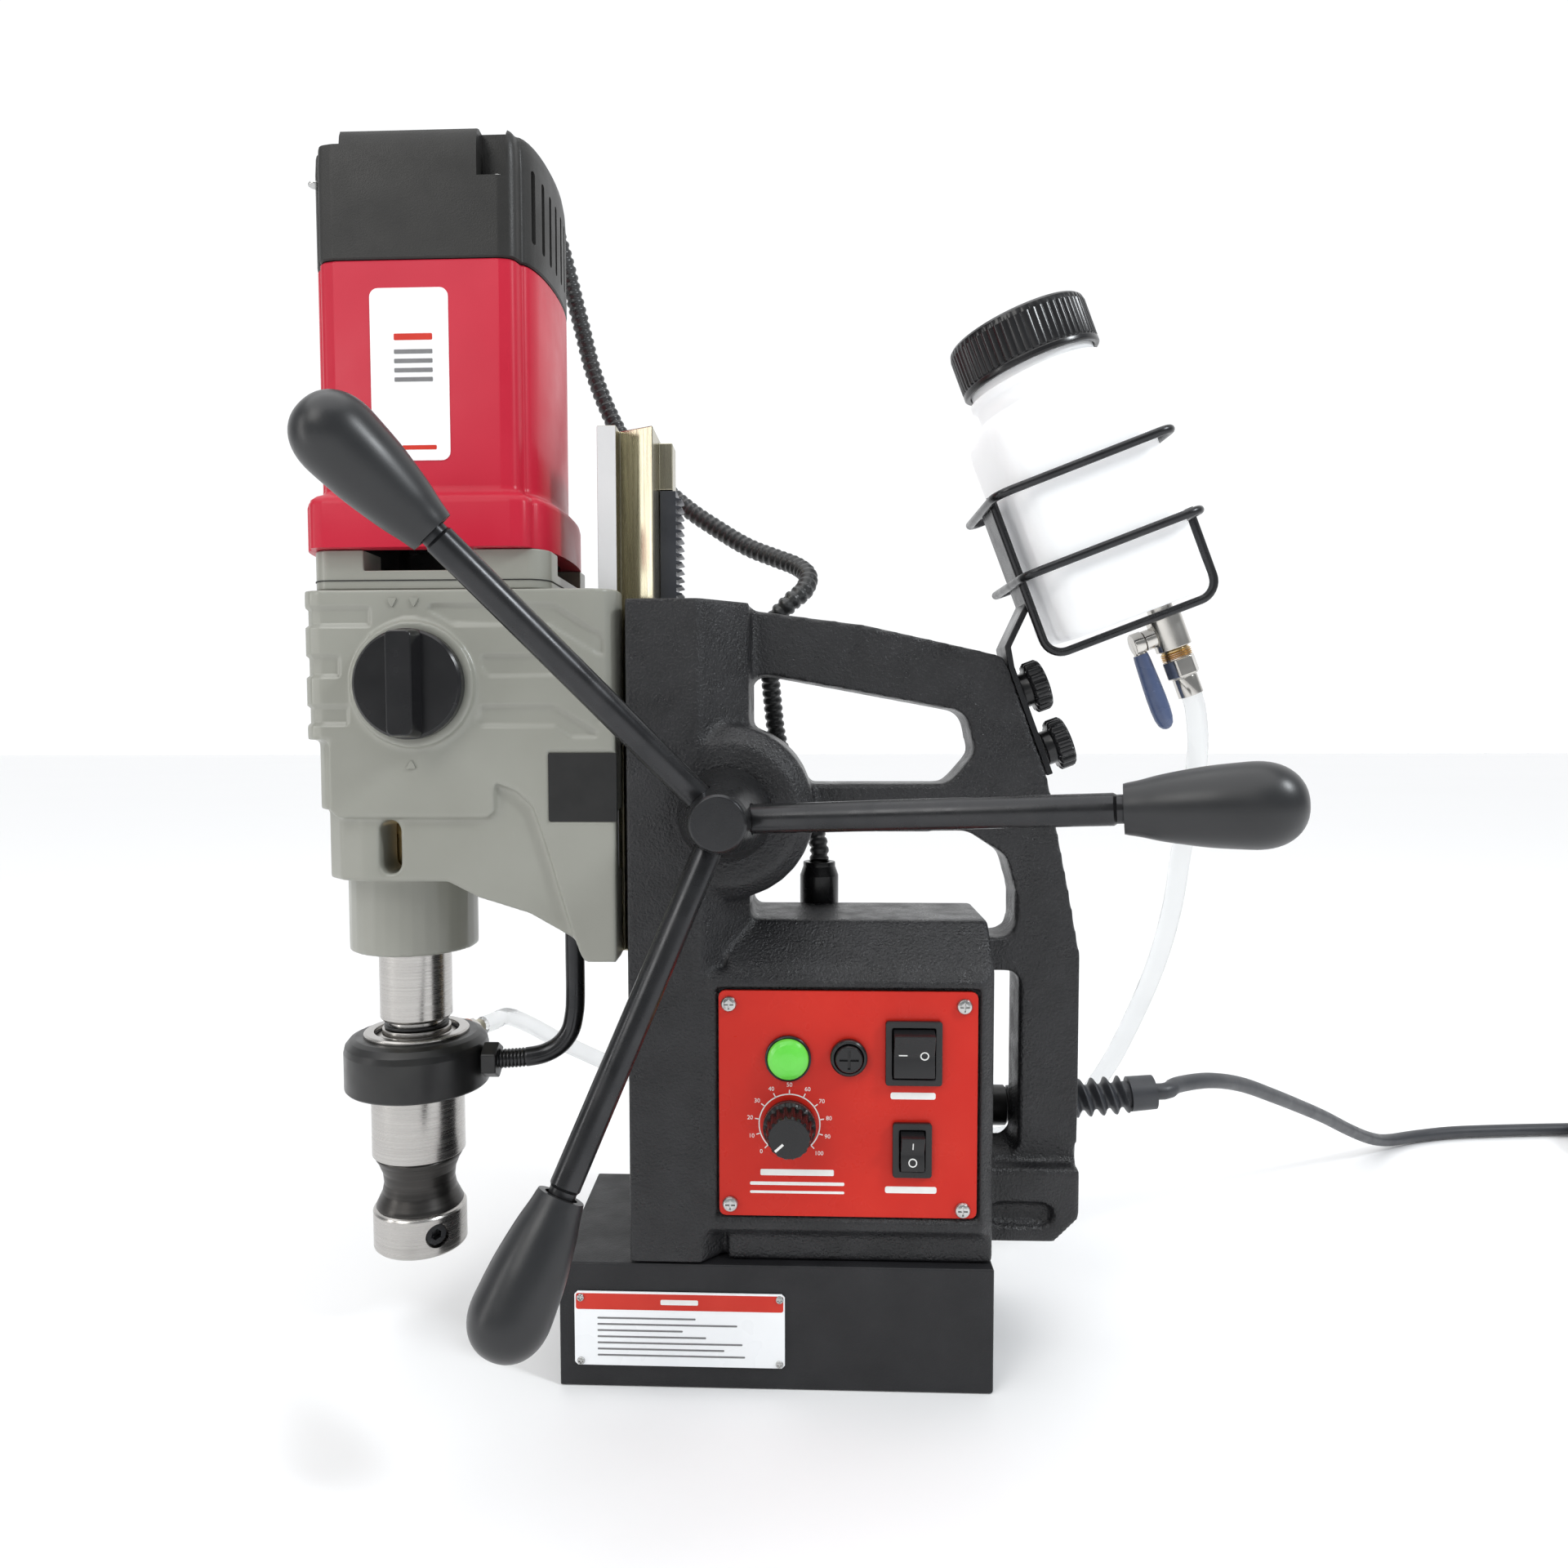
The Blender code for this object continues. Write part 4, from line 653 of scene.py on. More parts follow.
def strain_relief():
    """The lead's rubber boot: a collar, three fat twisted ridges and a sleeve."""
    length = (RELIEF_TIP - RELIEF_ROOT).length
    count = 320
    radii = []
    for step in range(count + 1):
        s = length * step / count
        if s < 3:
            radius = 8.0
        elif s < 50:
            radius = 5.3 + 2.9 * (0.5 + 0.5 * math.cos(2 * math.pi * (s - 5) / 5.6)) ** 1.3
        elif s < 52:
            radius = 5.6
        else:
            radius = 7.5 - 0.02 * (s - 52)
        radii.append(radius)
    along = (RELIEF_TIP - RELIEF_ROOT).normalized()
    side = along.cross(UP).normalized()
    lift = side.cross(along)
    rings = []
    for step in range(count + 1):
        s = length * step / count
        centre = RELIEF_ROOT + along * s
        ring = []
        for k in range(32):
            a = 2 * math.pi * k / 32
            lean = 1.6 * math.sin(a) if 3 <= s < 51 else 0.0
            at_s = min(max(s + lean, 3.01), 50.9) if lean else s
            radius = radii[min(count, round(at_s / length * count))]
            ring.append(centre + (side * math.cos(a) + lift * math.sin(a)) * radius)
        rings.append(ring)
    shape("strain_relief_boot", loft(rings), "stand", LEAD_RUBBER, "lead_rubber", ["strain_relief"], sharp=60)


def conduit():
    route = [(-136, 32, 478.6), (-136, 32, 483), (-135.6, 32.6, 489), (-133, 37.5, 499), (-125.5, 48, 508.5)]
    route += [(-114, 60.5, 506), (-104, 72, 485), (-96.2, 82, 452), (-89.5, 88, 424), (-77, 85, 396),
        (-61, 78, 375)]
    route += [(-44, 70, 358.5), (-28, 62.5, 346.5), (-14, 54, 337), (-1, 45, 330.5), (8.5, 36.5, 325.5)]
    route += [(13.2, 27.6, 319.9), (11.4, 19.8, 313), (4.8, 16.4, 306.8), (-1.6, 19.2, 299.4),
        (-3.7, 25.2, 290)]
    route += [(-3.4, 31, 279), (-2.4, 36.4, 266.5), (-0.6, 39.4, 251), (3.2, 40.2, 238), (9, 38.5, 225),
        (15, 34.5, 212.5)]
    route += [(18, 29.6, 203), (18.2, 28, 196.5)]
    path = smooth_path(route, 0.72)
    radii = [CONDUIT / 2 - (0.0, 0.12, 0.75, 0.75, 0.12)[i % 5] for i in range(len(path))]
    cover = shape("motor_conduit_ribbed", tube(path, radii, 14), None, CONDUIT_BLACK, "conduit_black",
                  ["motor_conduit"], sharp=50)
    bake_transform(cover)


def hose():
    route = [leaning(19, 0, v) for v in (-28.4, -34, -40)]
    route += [(171.5, 1.5, 248), (171.5, 6, 228), (170, 13, 205), (169.5, 23, 176), (167, 36, 148)]
    route += [(162, 51, 120), (155, 67, 92), (143, 82, 67), (120, 94, 51), (90, 102, 44), (55, 107, 42),
        (18, 110, 43)]
    route += [(-20, 112, 49), (-55, 111, 62), (-86, 104, 79), (-109, 90, 95), (-122, 73, 109)]
    route += [RING_BARB + BARB_OUT * reach for reach in (58, 49, 40.8)]
    path = smooth_path(route, 4.0)
    pipe = shape("coolant_hose_clear", tube(path, HOSE / 2, 20), None, HOSE_CLEAR, "hose_clear",
                 ["coolant_hose"], sharp=60)
    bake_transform(pipe)


mains_lead()
strain_relief()
conduit()
hose()

# ---------------------------------------------------------------- stand

HUB_AT = Vector((-18.3, 0, 222.5))
PANEL = (-21.3, 76.7, 68.0, 155.3)
PANEL_FRONT = -41.2
LAMP_AT, FUSE_AT, DIAL_AT = (5.1, 129.6), (28.0, 130.3), (5.6, 103.9)
DIAL_START, DIAL_SWEEP = 225, 270  # degrees
MOTOR_SWITCH, MAGNET_SWITCH = (41.8, 63.1, 119.8, 144.4), (44.6, 59.4, 84.4, 105.4)


def stand_casting():
    """The coarse-painted casting, with a flat bed kept for the panel. A collar covers the bush's end."""
    collar = turned([(12.9, 38.0), (24.5, 38.0), (24.5, 41.7), (12.9, 41.7)], HUB_AT, FRONT, 64, hollow=True)
    skin = cast(joined(node_shape("stand_casting"), collar), 1.5, 3)
    left, right, bottom, top = PANEL

    def bed(place):
        inside = min(place.x - left + 0.9, right + 0.9 - place.x, place.z - bottom + 0.9, top + 0.9 - place.z)
        return place.y < -38.2 and inside > 0

    for vertex in skin.verts:
        if bed(vertex.co):
            vertex.co.y = max(vertex.co.y, -39.0)
    shape("stand_casting_skin", skin, "stand", CAST_BLACK, "casting_black", ["stand_casting"], sharp=180)


def screw_head(radius, x, y, z, direction=FRONT, height=1.5):
    """A domed head with a cross slot, its underside at the given place."""
    dome = [(0, 0), (radius, 0), (radius, height * 0.35), (radius * 0.86, height * 0.8),
        (radius * 0.5, height), (0, height)]
    head = turned(dome, sides=28, fillet=0.2)
    slots = [block((-a, a), (-b, b), (height * 0.45, height + 1)) for a,
        b in ((radius * 0.62, 0.34), (0.34, radius * 0.62))]
    return moved(combined(head, slots), (x, y, z), direction)


def foot():
    finished("magnet_base", "stand", BASE_BLACK, "magnet_black", 0.8)
    kept("magnet_coil", COPPER)
    kept("magnet_potting", POTTING)
    kept("control_board", BOARD_GREEN)
    kept("speed_potentiometer", SCREW_STEEL)
    finished("label_plate", "stand", LABEL_METAL, "label_metal", 0.15)
    header = prism(rectangle(-76.8, 3.2, 31.0, 37.3, 0.9), -43.28, -43.1, "Y")
    shape("label_header", header, "stand", LABEL_RED, "panel_red")
    bars = [prism(rectangle(-44, -29.5, 33.2, 35.2, 0.5), -43.36, -43.2, "Y")]
    shape("label_header_mark", joined(*bars), "stand", PRINT_WHITE, "label_metal")
    lengths = (38, 54, 33, 42, 56, 49, 57)
    lines = [
        prism(rectangle(-68.5, -68.5 + reach, 27.3 - 2.45 * k, 28.0 - 2.45 * k, 0.2, 1), -43.27, -43.1, "Y")
        for k, reach in enumerate(lengths)
    ]
    shape("label_lines", joined(*lines), "stand", PRINT_GREY, "label_metal")
    rivets = [screw_head(1.5, x, -43.1, z, height=0.9) for x,
        z in ((-75, 35.6), (1.8, 36.0), (-75, 10.5), (1.7, 10.5))]
    shape("label_rivets", joined(*rivets), "stand", SCREW_STEEL, "machined_steel")


def printed(text, size, x, z, front, align="CENTER"):
    """Dial numbers as thin raised print on a face that looks along -Y."""
    data = bpy.data.curves.new("print", "FONT")
    data.body, data.size, data.align_x, data.align_y = text, size, align, "CENTER"
    data.extrude, data.resolution_u = 0.05, 3
    obj = bpy.data.objects.new("print", data)
    bpy.context.scene.collection.objects.link(obj)
    graph = bpy.context.evaluated_depsgraph_get()
    graph.update()
    bm = bmesh.new()
    bm.from_mesh(obj.evaluated_get(graph).to_mesh())
    bpy.data.objects.remove(obj)
    bmesh.ops.remove_doubles(bm, verts=bm.verts, dist=0.0005)
    turn = Matrix(((1, 0, 0, x), (0, 0, -1, front), (0, 1, 0, z), (0, 0, 0, 1)))
    bm.transform(turn)
    return bm


def print_mark(outline):
    """Raised print on the panel's face."""
    return prism(outline, PANEL_FRONT - 0.06, PANEL_FRONT + 0.1, "Y")


def radial_bar(x, z, angle, near, far, half):
    """The outline of a bar that points away from (x, z)."""
    along = Vector((math.cos(angle), math.sin(angle)))
    across = Vector((-math.sin(angle), math.cos(angle))) * half
    inner, outer = [Vector((x, z)) + along * r for r in (near, far)]
    return [tuple(inner - across), tuple(outer - across), tuple(outer + across), tuple(inner + across)]


def panel():
    finished("control_panel", "stand", PANEL_RED, "panel_red", 0.25)
    corners = ((-17.4, 150.2), (71.5, 149.8), (-17.1, 72.6), (71.3, 71.4))
    screws = [screw_head(3.0, x, PANEL_FRONT + 0.05, z, height=1.7) for x, z in corners]
    shape("panel_screws", joined(*screws), "stand", SCREW_STEEL, "machined_steel")
    x, z = DIAL_AT
    marks = []
    arc = [math.radians(DIAL_START - DIAL_SWEEP * k / 60) for k in range(61)]
    outer = [(x + 11.8 * math.cos(a), z + 11.8 * math.sin(a)) for a in arc]
    inner = [(x + 11.35 * math.cos(a), z + 11.35 * math.sin(a)) for a in reversed(arc)]
    marks.append(print_mark(outer + inner))
    for k in range(11):
        a = math.radians(DIAL_START - DIAL_SWEEP * k / 10)
        marks.append(print_mark(radial_bar(x, z, a, 11.6, 13.3, 0.2)))
        reach = 15.2 + (0.7 if k == 10 else 0)
        marks.append(printed(str(10 * k), 2.3, x + reach * math.cos(a), z + reach * math.sin(a),
            PANEL_FRONT - 0.01))
    for middle, low, wide, high in ((52.4, 114.0, 17.0, 2.6), (51.7, 77.6, 19.5, 2.6)):
        marks.append(print_mark(rectangle(middle - wide / 2, middle + wide / 2, low, low + high, 0.8)))
    for low, wide, high in ((83.9, 28.0, 2.4), (80.1, 36.0, 1.3), (76.9, 36.0, 1.0)):
        marks.append(print_mark(rectangle(8.5 - wide / 2, 8.5 + wide / 2, low, low + high, 0.5)))
    shape("panel_print", joined(*marks), "stand", PRINT_WHITE, "label_metal", sharp=30)

    lamp, fuse, dial = [(px, 0, pz) for px, pz in (LAMP_AT, FUSE_AT, DIAL_AT)]
    bezel = [(0, 24), (5.6, 24), (5.6, 41.4), (8.75, 41.4), (8.75, 43.0), (8.2, 43.4), (7.95, 43.2),
        (7.95, 42.3), (0, 42.3)]
    shape("pilot_lamp_ring", turned(bezel, lamp, FRONT, 64, fillet=0.15), "stand", GLOSS_BLACK,
        "black_plastic", ["pilot_lamp_bezel"])
    lens = [(0, 42.5), (7.8, 42.5), (7.8, 43.7), (7.4, 44.6), (6.0, 45.6), (3.4, 46.4), (0, 46.8)]
    shape("pilot_lamp_dome", turned(lens, lamp, FRONT, 64, fillet=0.6), "stand", LENS_GREEN, "lens_green",
        ["pilot_lamp_lens"])
    holder = [(0, 20), (5.2, 20), (5.2, 41.5), (7.0, 41.5), (7.0, 44.0), (6.4, 44.6), (5.6, 44.6),
        (5.5, 42.2), (0, 42.2)]
    shape("fuse_holder_ring", turned(holder, fuse, FRONT, 56, fillet=0.25), "stand", GLOSS_BLACK,
        "black_plastic", ["fuse_holder"])
    cap = turned([(0, 42.5), (5.2, 42.5), (5.2, 45.4), (4.8, 46.0), (0, 46.0)], fuse, FRONT, 48, fillet=0.3)
    cross = [block((fuse[0] - a, fuse[0] + a), (-47, -45.0), (fuse[2] - b, fuse[2] + b)) for a,
        b in ((3.6, 0.5), (0.5, 3.6))]
    shape("fuse_cap_slotted", combined(cap, cross), "fuse_drawer", GLOSS_BLACK, "black_plastic",
        ["fuse_cap"], 0.1)
    profile = [(0, 50.6), (3.6, 50.6), (3.6, 42.1), (9.2, 42.1), (10.0, 43.0), (10.0, 46.3), (9.0, 47.4)]
    profile += [(8.8, 48.4), (8.5, 52.0), (8.2, 55.4), (7.4, 56.6), (0, 56.6)]
    knob = turned(rounded(profile, 0.4, 3, closed=False), dial, FRONT, 144, flutes=(18, 0.7, 47.2, 55.8))
    shape("speed_knob_fluted", knob, "speed_dial", GLOSS_BLACK, "black_plastic", ["speed_knob"])
    line = radial_bar(x, z, math.radians(222), 3.0, 7.0, 0.45)
    shape("speed_knob_pointer", prism(line, -56.75, -56.4, "Y"), "speed_dial", PRINT_WHITE, "label_metal")


def rocker(name, place, body, marks):
    """A framed rocker switch, its face leaning as pressed, with a bar and a ring raised on it."""
    left, right, bottom, top = place
    middle, reach = (bottom + top) / 2, (top - bottom) / 2 - 2.6
    frame_shape = prism(rectangle(left, right, bottom, top, 1.2), -43.6, -41.5, "Y")
    neck = block((left + 1.9, right - 1.9), (-42.5, -22), (bottom + 1.9, top - 1.9))
    well = block((left + 2.6, right - 2.6), (-45, -32), (middle - reach, middle + reach))
    made = combined(frame_shape, [well], [neck])
    shape(f"{name}_switch_frame", made, "stand", GLOSS_BLACK, "rocker_plastic", [f"{name}_switch_body"], 0.35)
    radius, lean = reach - 0.35, math.radians(9)

    def place_on(y, z):
        return (-42.5 + y * math.cos(lean) - z * math.sin(lean),
            middle + y * math.sin(lean) + z * math.cos(lean))

    front = [(-4.1 + 1.9 * (1 - abs(t) / 6) ** 1.3, radius * 0.90 * t / 6) for t in range(6, -7, -1)]
    rear = [(1.0, -radius * 0.99), (5.5, -radius * 0.5), (5.5, radius * 0.5), (1.0, radius * 0.99)]
    section = [place_on(y, z) for y, z in front + rear]
    button = prism(section, left + 2.95, right - 2.95, "X")
    shape(f"{name}_rocker_cap", button, body, GLOSS_BLACK, "rocker_plastic", [f"{name}_rocker"], 0.35)
    made = []
    for kind, dx, share in marks:
        y0, z0 = -4.1 + 1.9 * (1 - abs(share) * 1.0) ** 1.3, radius * 0.90 * share
        y, z = place_on(y0, z0)
        tilt = lean + math.copysign(0.22, share) * (abs(share) > 0.05)
        direction = Vector((0, -math.cos(tilt), -math.sin(tilt)))
        if kind == "ring":
            # A ring in the dip between the two faces stands up past them.
            high = 0.6 if abs(share) < 0.05 else 0.12
            mark = turned([(1.25, -0.25), (1.65, -0.25), (1.65, high), (1.25, high)], sides=28, hollow=True)
        elif kind == "bar":
            mark = block((-0.2, 0.2), (-1.5, 1.5), (-0.25, 0.12))
        else:
            mark = block((-1.6, 1.6), (-0.22, 0.22), (-0.25, 0.12))
        made.append(moved(mark, ((left + right) / 2 + dx, y, z), direction))
    shape(f"{name}_rocker_marks", joined(*made), body, PRINT_WHITE, "label_metal")


def glands():
    gland = [(4.2, 70), (6.1, 70), (6.1, 83.8), (9.8, 83.8), (9.8, 91), (8.6, 91.5), (8.6, 99), (7.4, 100),
        (4.2, 100)]
    ring = turned(gland, (0, 25, 89), RIGHT, 48, hollow=True, fillet=0.4)
    shape("mains_gland_nut", ring, "stand", RING_BLACK, "bearing_brass", ["mains_gland"])
    gland = [(4.6, 158), (5.6, 158), (5.6, 172.3), (8.4, 172.3), (8.4, 190), (7.0, 194), (7.0, 196),
        (4.6, 196)]
    ring = turned(gland, (18.2, 28, 0), UP, 72, hollow=True, fillet=0.4, flutes=(12, 0.7, 174, 189))
    shape("conduit_gland_nut", ring, "stand", GLOSS_BLACK, "black_plastic", ["conduit_gland"])


def feed_parts():
    finished("gib_strip", "stand", BRASS, "bearing_brass", 0.3)
    ring = [(12.3, 9), (22.2, 9), (22.2, 37.6), (12.3, 37.6)]
    bush = turned(ring, HUB_AT, FRONT, 72, hollow=True, fillet=0.5)
    shape("feed_bush_turned", bush, "stand", BRASS, "bearing_brass", ["feed_bush"])


# ---------------------------------------------------------------- capstan

ROD_SPLAY = math.radians(17)
KNOB_PROFILE = [(0, 22), (5.6, 22), (5.6, 0), (7.9, 0), (8.2, 1.2), (8.9, 5), (10.2, 10.4), (11.5, 17.8)]
KNOB_PROFILE += [(12.5, 25), (13.1, 33), (13.3, 38.5), (12.7, 42.6), (11.3, 46.0), (9.0, 48.9), (6.0, 50.9),
    (3.0, 51.8), (0, 52)]


def dense(profile, pieces=6):
    """The profile with more points, on a smooth curve through its own."""
    points = [Vector((r, h, 0)) for r, h in profile]
    path = smooth_path(points, max(0.4, length_of(points) / (pieces * len(points))))
    return [(max(p.x, 0.0), p.y) for p in path]


def capstan():
    hub = [(0, 62), (8.3, 62), (8.3, 45.8), (17.2, 45.8), (17.8, 47), (17.4, 48.5), (10.6, 79), (10.0, 83.0),
        (9.2, 84), (0, 84)]
    sockets, rods = [], []
    for number, degrees in enumerate((133.0, 3.1, -112.6), 1):
        a = math.radians(degrees)
        out = Vector((math.cos(a), 0, math.sin(a)))
        along = out * math.cos(ROD_SPLAY) + FRONT * math.sin(ROD_SPLAY)
        root = HUB_AT + FRONT * 72 + out * 14.5
        sockets.append(rod(5.5, -7.5, 20, root, along, 40, 0))
        rods.append((number, root, along))
    body = combined(turned(hub, HUB_AT, FRONT, 72, fillet=0.6), sockets)
    shape("capstan_hub_turned", body, "capstan", ROD_BLACK, "blackened_steel", ["capstan_hub"], 0.3)
    reach = (128.5 - 14.5) / math.cos(ROD_SPLAY)
    for number, root, along in rods:
        bar = [(0, -7), (4.6, -7), (5.2, -6.4), (5.2, reach - 3), (4.6, reach - 2), (4.6, reach + 21),
            (0, reach + 21)]
        shape(f"capstan_bar_{number}", turned(bar, root, along, 48, fillet=0.3), "capstan", ROD_BLACK,
              "blackened_steel", [f"capstan_rod_{number}"])
        grip = KNOB_PROFILE[:4] + dense(KNOB_PROFILE[4:], 3)
        shape(f"capstan_grip_{number}", turned(grip, root + along * reach, along, 64), "capstan", KNOB_BLACK,
              "knob_black", [f"capstan_knob_{number}"], sharp=50)
    kept("pinion_shaft", TURNED_STEEL)


# ---------------------------------------------------------------- carriage

GEARBOX_POCKETS = [
    rounded([(-129.6, 301.7), (-82.0, 301.2), (-63.7, 289.7), (-63.1, 281.9), (-66.0, 282.1), (-84.3, 293.2),
    (-120.8, 293.5), (-130.8, 299.1)], 1.5, 3),
    rounded([(-110.2, 282.4), (-85.5, 282.4), (-72.0, 274.6), (-107.8, 274.1), (-110.8, 278.5)], 1.5, 3),
    rounded([(-110.8, 263.6), (-82, 263.2), (-62.6, 251.1), (-76.1, 250.9), (-83.1, 255.4), (-112.0, 255.4),
    (-112.6, 258.0)], 1.5, 3),
]
SIDE_POCKETS = [(-152.0, 293.2, 300.9), (-164.1, 274.2, 282.4), (-161.0, 255.8, 263.6)]


def gearbox():
    """The painted casting: its CAD solid with the raised cheek, fused, softened and given its sunk fields."""
    cheek = [(-60.0, 256), (-136, 256), (-136, 247.5), (-122, 241.5), (-107.8, 235), (-97.5, 231),
        (-91.5, 225.5)]
    cheek += [(-88.2, 216), (-84.8, 205), (-79.8, 187.4), (-76.3, 175.6), (-73.6, 168.2), (-71.6, 166.0),
        (-60.0, 166.0)]
    wedge = prism(cheek, -42.0, -34, "Y")
    floor = block((-172, -89), (-36, 36), (240, 306.5))
    ring = turned([(20.9, 40), (23.7, 40), (23.7, 44.9), (20.9, 44.9)], (-136, 0, 271.3), FRONT, 64,
        hollow=True)
    slot = prism(rounded([(-151.5, 199), (-143.1, 199), (-143.1, 219.8), (-151.5, 219.8)], 4, 5), -43, -17,
        "Y")
    skin = cast(joined(combined(node_shape("gearbox_housing"), [slot]), wedge, floor, ring), 0.95, 3)

    def sunk(place, normal):
        if place.z < 250 or place.z > 303:
            return 0.0
        share = 0.0
        if place.y < -40.8 and normal.y < -0.6:
            for outline in GEARBOX_POCKETS:
                share = max(share, step_up(depth_inside(place.x, place.z, outline), 0.9))
        if abs(place.y) > 20 or place.x < -170:
            for right, low, high in SIDE_POCKETS:
                edge = right if place.y < 0 else -150
                share = max(share, step_up(min(place.z - low, high - place.z, edge - place.x), 0.9))
        return share

    pressed(skin, 1.15, sunk)
    # Flattens the gearbox front where the black patch of painted shade sits.
    for vertex in skin.verts:
        if -85.6 < vertex.co.x < -58 and 219.1 < vertex.co.z < 245.8 and vertex.co.y < -40:
            vertex.co.y = -41.2
    shape("gearbox_casting", skin, "carriage", GREY_CAST, "gearbox_grey", ["gearbox_housing"], sharp=180)
    # A flat black patch on the cheek right of the raised block: painted shade standing for the shadow of a
    # recess there.
    shade_patch = prism(rectangle(-85.2, -59.3, 219.5, 245.4, 0.6, 2), -42.15, -40.6, "Y")
    shape("gearbox_painted_shade_patch", shade_patch, "carriage", SHADE_AND_GASKET_BLACK, "black_plastic", bevel=0.2)
    arrows = []
    for x, z, way in ((-143.5, 302.0, -1), (-135.2, 302.0, -1), (-137.4, 241.3, 1)):
        corners = rounded([(x - 2.0, z - 1.8 * way), (x + 2.0, z - 1.8 * way), (x, z + 1.9 * way)], 0.4, 3)
        arrows.append(prism(corners, -42.7, -41.5, "Y"))
    shape("gearbox_arrows", joined(*arrows), "carriage", GREY_CAST, "gearbox_grey", bevel=0.3)


def motor_outline(growth=0.0, steps=7):
    """Flat front and back, bulging sides and round corners, about the motor's axis."""
    half_x, half_y, flat = 45.0 + growth, 40.0 + growth, 38.0 + growth
    corners = [(flat - 7, -half_y), (flat - 1.2, -half_y + 1.3), (flat, -half_y + 6.5)]
    side = [
        (flat + (half_x - flat) * math.sin(t * math.pi / 2 / 8),
        -(half_y - 6.5) * math.cos(t * math.pi / 2 / 8))
        for t in range(1, 9)
    ]
    right = corners + side + [(x, -y) for x, y in reversed(corners + side[:-1])]
    whole = right + [(-x, -y) for x, y in right]
    radii = [5, 9, 12] + [0] * (len(right) - 6) + [12, 9, 5]
    return [(-133.0 + x, y) for x, y in rounded(whole, radii * 2, steps)]


def at_height(outline, z):
    return [Vector((x, y, z)) for x, y in outline]


def motor():
    plan = rectangle(-176, -85, -40, 40, 8)
    openings = [block((-155, -113), (-45, 45), (314.4, 323)), block((-180, -80), (-22, 22), (314.4, 323))]
    openings += [rod(10, 300, 330, (-133, 0, 0))]
    plate = combined(prism(plan, 307.3, 322.1), openings)
    shape("motor_flange_casting", plate, "carriage", GREY_CAST, "gearbox_grey", ["motor_flange"], 0.7)
    seam = prism(rectangle(-176.3, -84.7, -40.3, 40.3, 8.2), 310.4, 310.8)
    shape("motor_flange_gasket", seam, "carriage", SHADE_AND_GASKET_BLACK, "black_plastic")
    shell = [(4.5, 322.4), (4.5, 338.5), (4.1, 340.4), (2.6, 342.0), (0.8, 342.9), (0.1, 344.2), (0, 346),
        (0, 427.9)]
    shell += [(-0.6, 428.7), (-3.5, 428.7), (-3.5, 323.0), (-3.0, 322.4), (3.9, 322.3)]
    body = loft([at_height(motor_outline(g), z) for g, z in shell], True)
    shape("motor_shell", body, "carriage", MOTOR_RED, "motor_red", ["motor_housing"], sharp=40)
    cap = [(-3.5, 452), (-3.5, 429.0), (-0.4, 429.0), (0.15, 429.6), (0.15, 464), (-0.1, 470), (-0.8, 474),
           (-2.0, 476.2), (-4.2, 477.0)]
    body = loft([at_height(motor_outline(g), z) for g, z in cap])
    cuts = [
        block((-190, -161.0), (-60, 60), (471.0, 482)),
        *(block(x, y, (458.5, z)) for x, z in (((-109.5, -98.8), 482),
        ((-190, -170.2), 472)) for y in ((-60, -32), (32, 60))),
    ]
    for y, low in ((-28.5, 438.0), (-20.5, 437.0), (-12.5, 436.0), (-4.5, 436.0), (4.5, 436.0),
        (12.5, 436.0), (20.5, 437.0), (28.5, 438.0)):
        outline = rounded([(y - 1.3, low), (y + 1.3, low), (y + 1.3, low + 27), (y - 1.3, low + 27)], 1.2, 3)
        cuts += [prism(outline, side * 32 - 133, side * 60 - 133, "X") for side in (-1, 1)]
    made = combined(body, cuts)
    shape("motor_cap_moulding", made, "carriage", CAP_BLACK, "black_plastic", ["motor_cap"], 0.7, sharp=40)
    screws = [screw_head(2.5, -172.6, y, 458.4, UP, 1.6) for y in (-34.2, 34.2)]
    screws += [screw_head(2.6, -102.6, y, 458.4, UP, 1.6) for y in (-35.8, 35.8)]
    shape("motor_cap_screws", joined(*screws), "carriage", SCREW_STEEL, "machined_steel")
    boot = [(0, 473), (7.6, 473), (7.6, 477.5), (6.6, 479), (5.4, 486), (5.0, 489), (0, 489)]
    bore = rod(4.5, 477.6, 500, (-136, 32, 0), UP, 32, 0)
    boot_shape = combined(turned(boot, (-136, 32, 0), UP, 48, fillet=0.8), [bore])
    shape("motor_cable_boot", boot_shape, "carriage", CAP_BLACK, "black_plastic")
    sticker = prism(rectangle(-150.5, -120.9, 355.0, 418.3, 3.2), -40.35, -39.6, "Y")
    shape("motor_sticker", sticker, "carriage", STICKER, "label_metal", bevel=0.1)
    bars = [prism(rectangle(-141.5, -127.0, 384.0 + 3.4 * k, 385.6 + 3.4 * k, 0.3), -40.45, -40.2,
        "Y") for k in range(4)]
    shape("motor_sticker_bars", joined(*bars), "carriage", PRINT_GREY, "label_metal")
    bars = [prism(rectangle(-141.5, -127.0, 399.2, 401.6, 0.4), -40.45, -40.2, "Y"),
            prism(rectangle(-139.0, -126.0, 359.0, 360.6, 0.4), -40.45, -40.2, "Y")]
    shape("motor_sticker_stripe", joined(*bars), "carriage", LABEL_RED, "panel_red")
    kept("motor_stator", COPPER)
    liner = [(-3.62, 323.4), (-3.62, 352), (-4.4, 352), (-4.4, 323.4)]
    lining = loft([at_height(motor_outline(g), z) for g, z in liner], True)
    shape("motor_inner_liner", lining, "carriage", CAP_BLACK, "black_plastic", sharp=40)


def slide():
    finished("slide_bar", "carriage", RAIL_STEEL, "polished_steel", 0.5)
    face = prism(rectangle(-68.3, -61.2, 165.6, 370.7, 0.3), -26.12, -25.7, "Y")
    shape("slide_plate_face", face, "carriage", GROUND_STEEL, "polished_steel")
    finished("feed_rack", "carriage", RACK_STEEL, "machined_steel", 0.2)


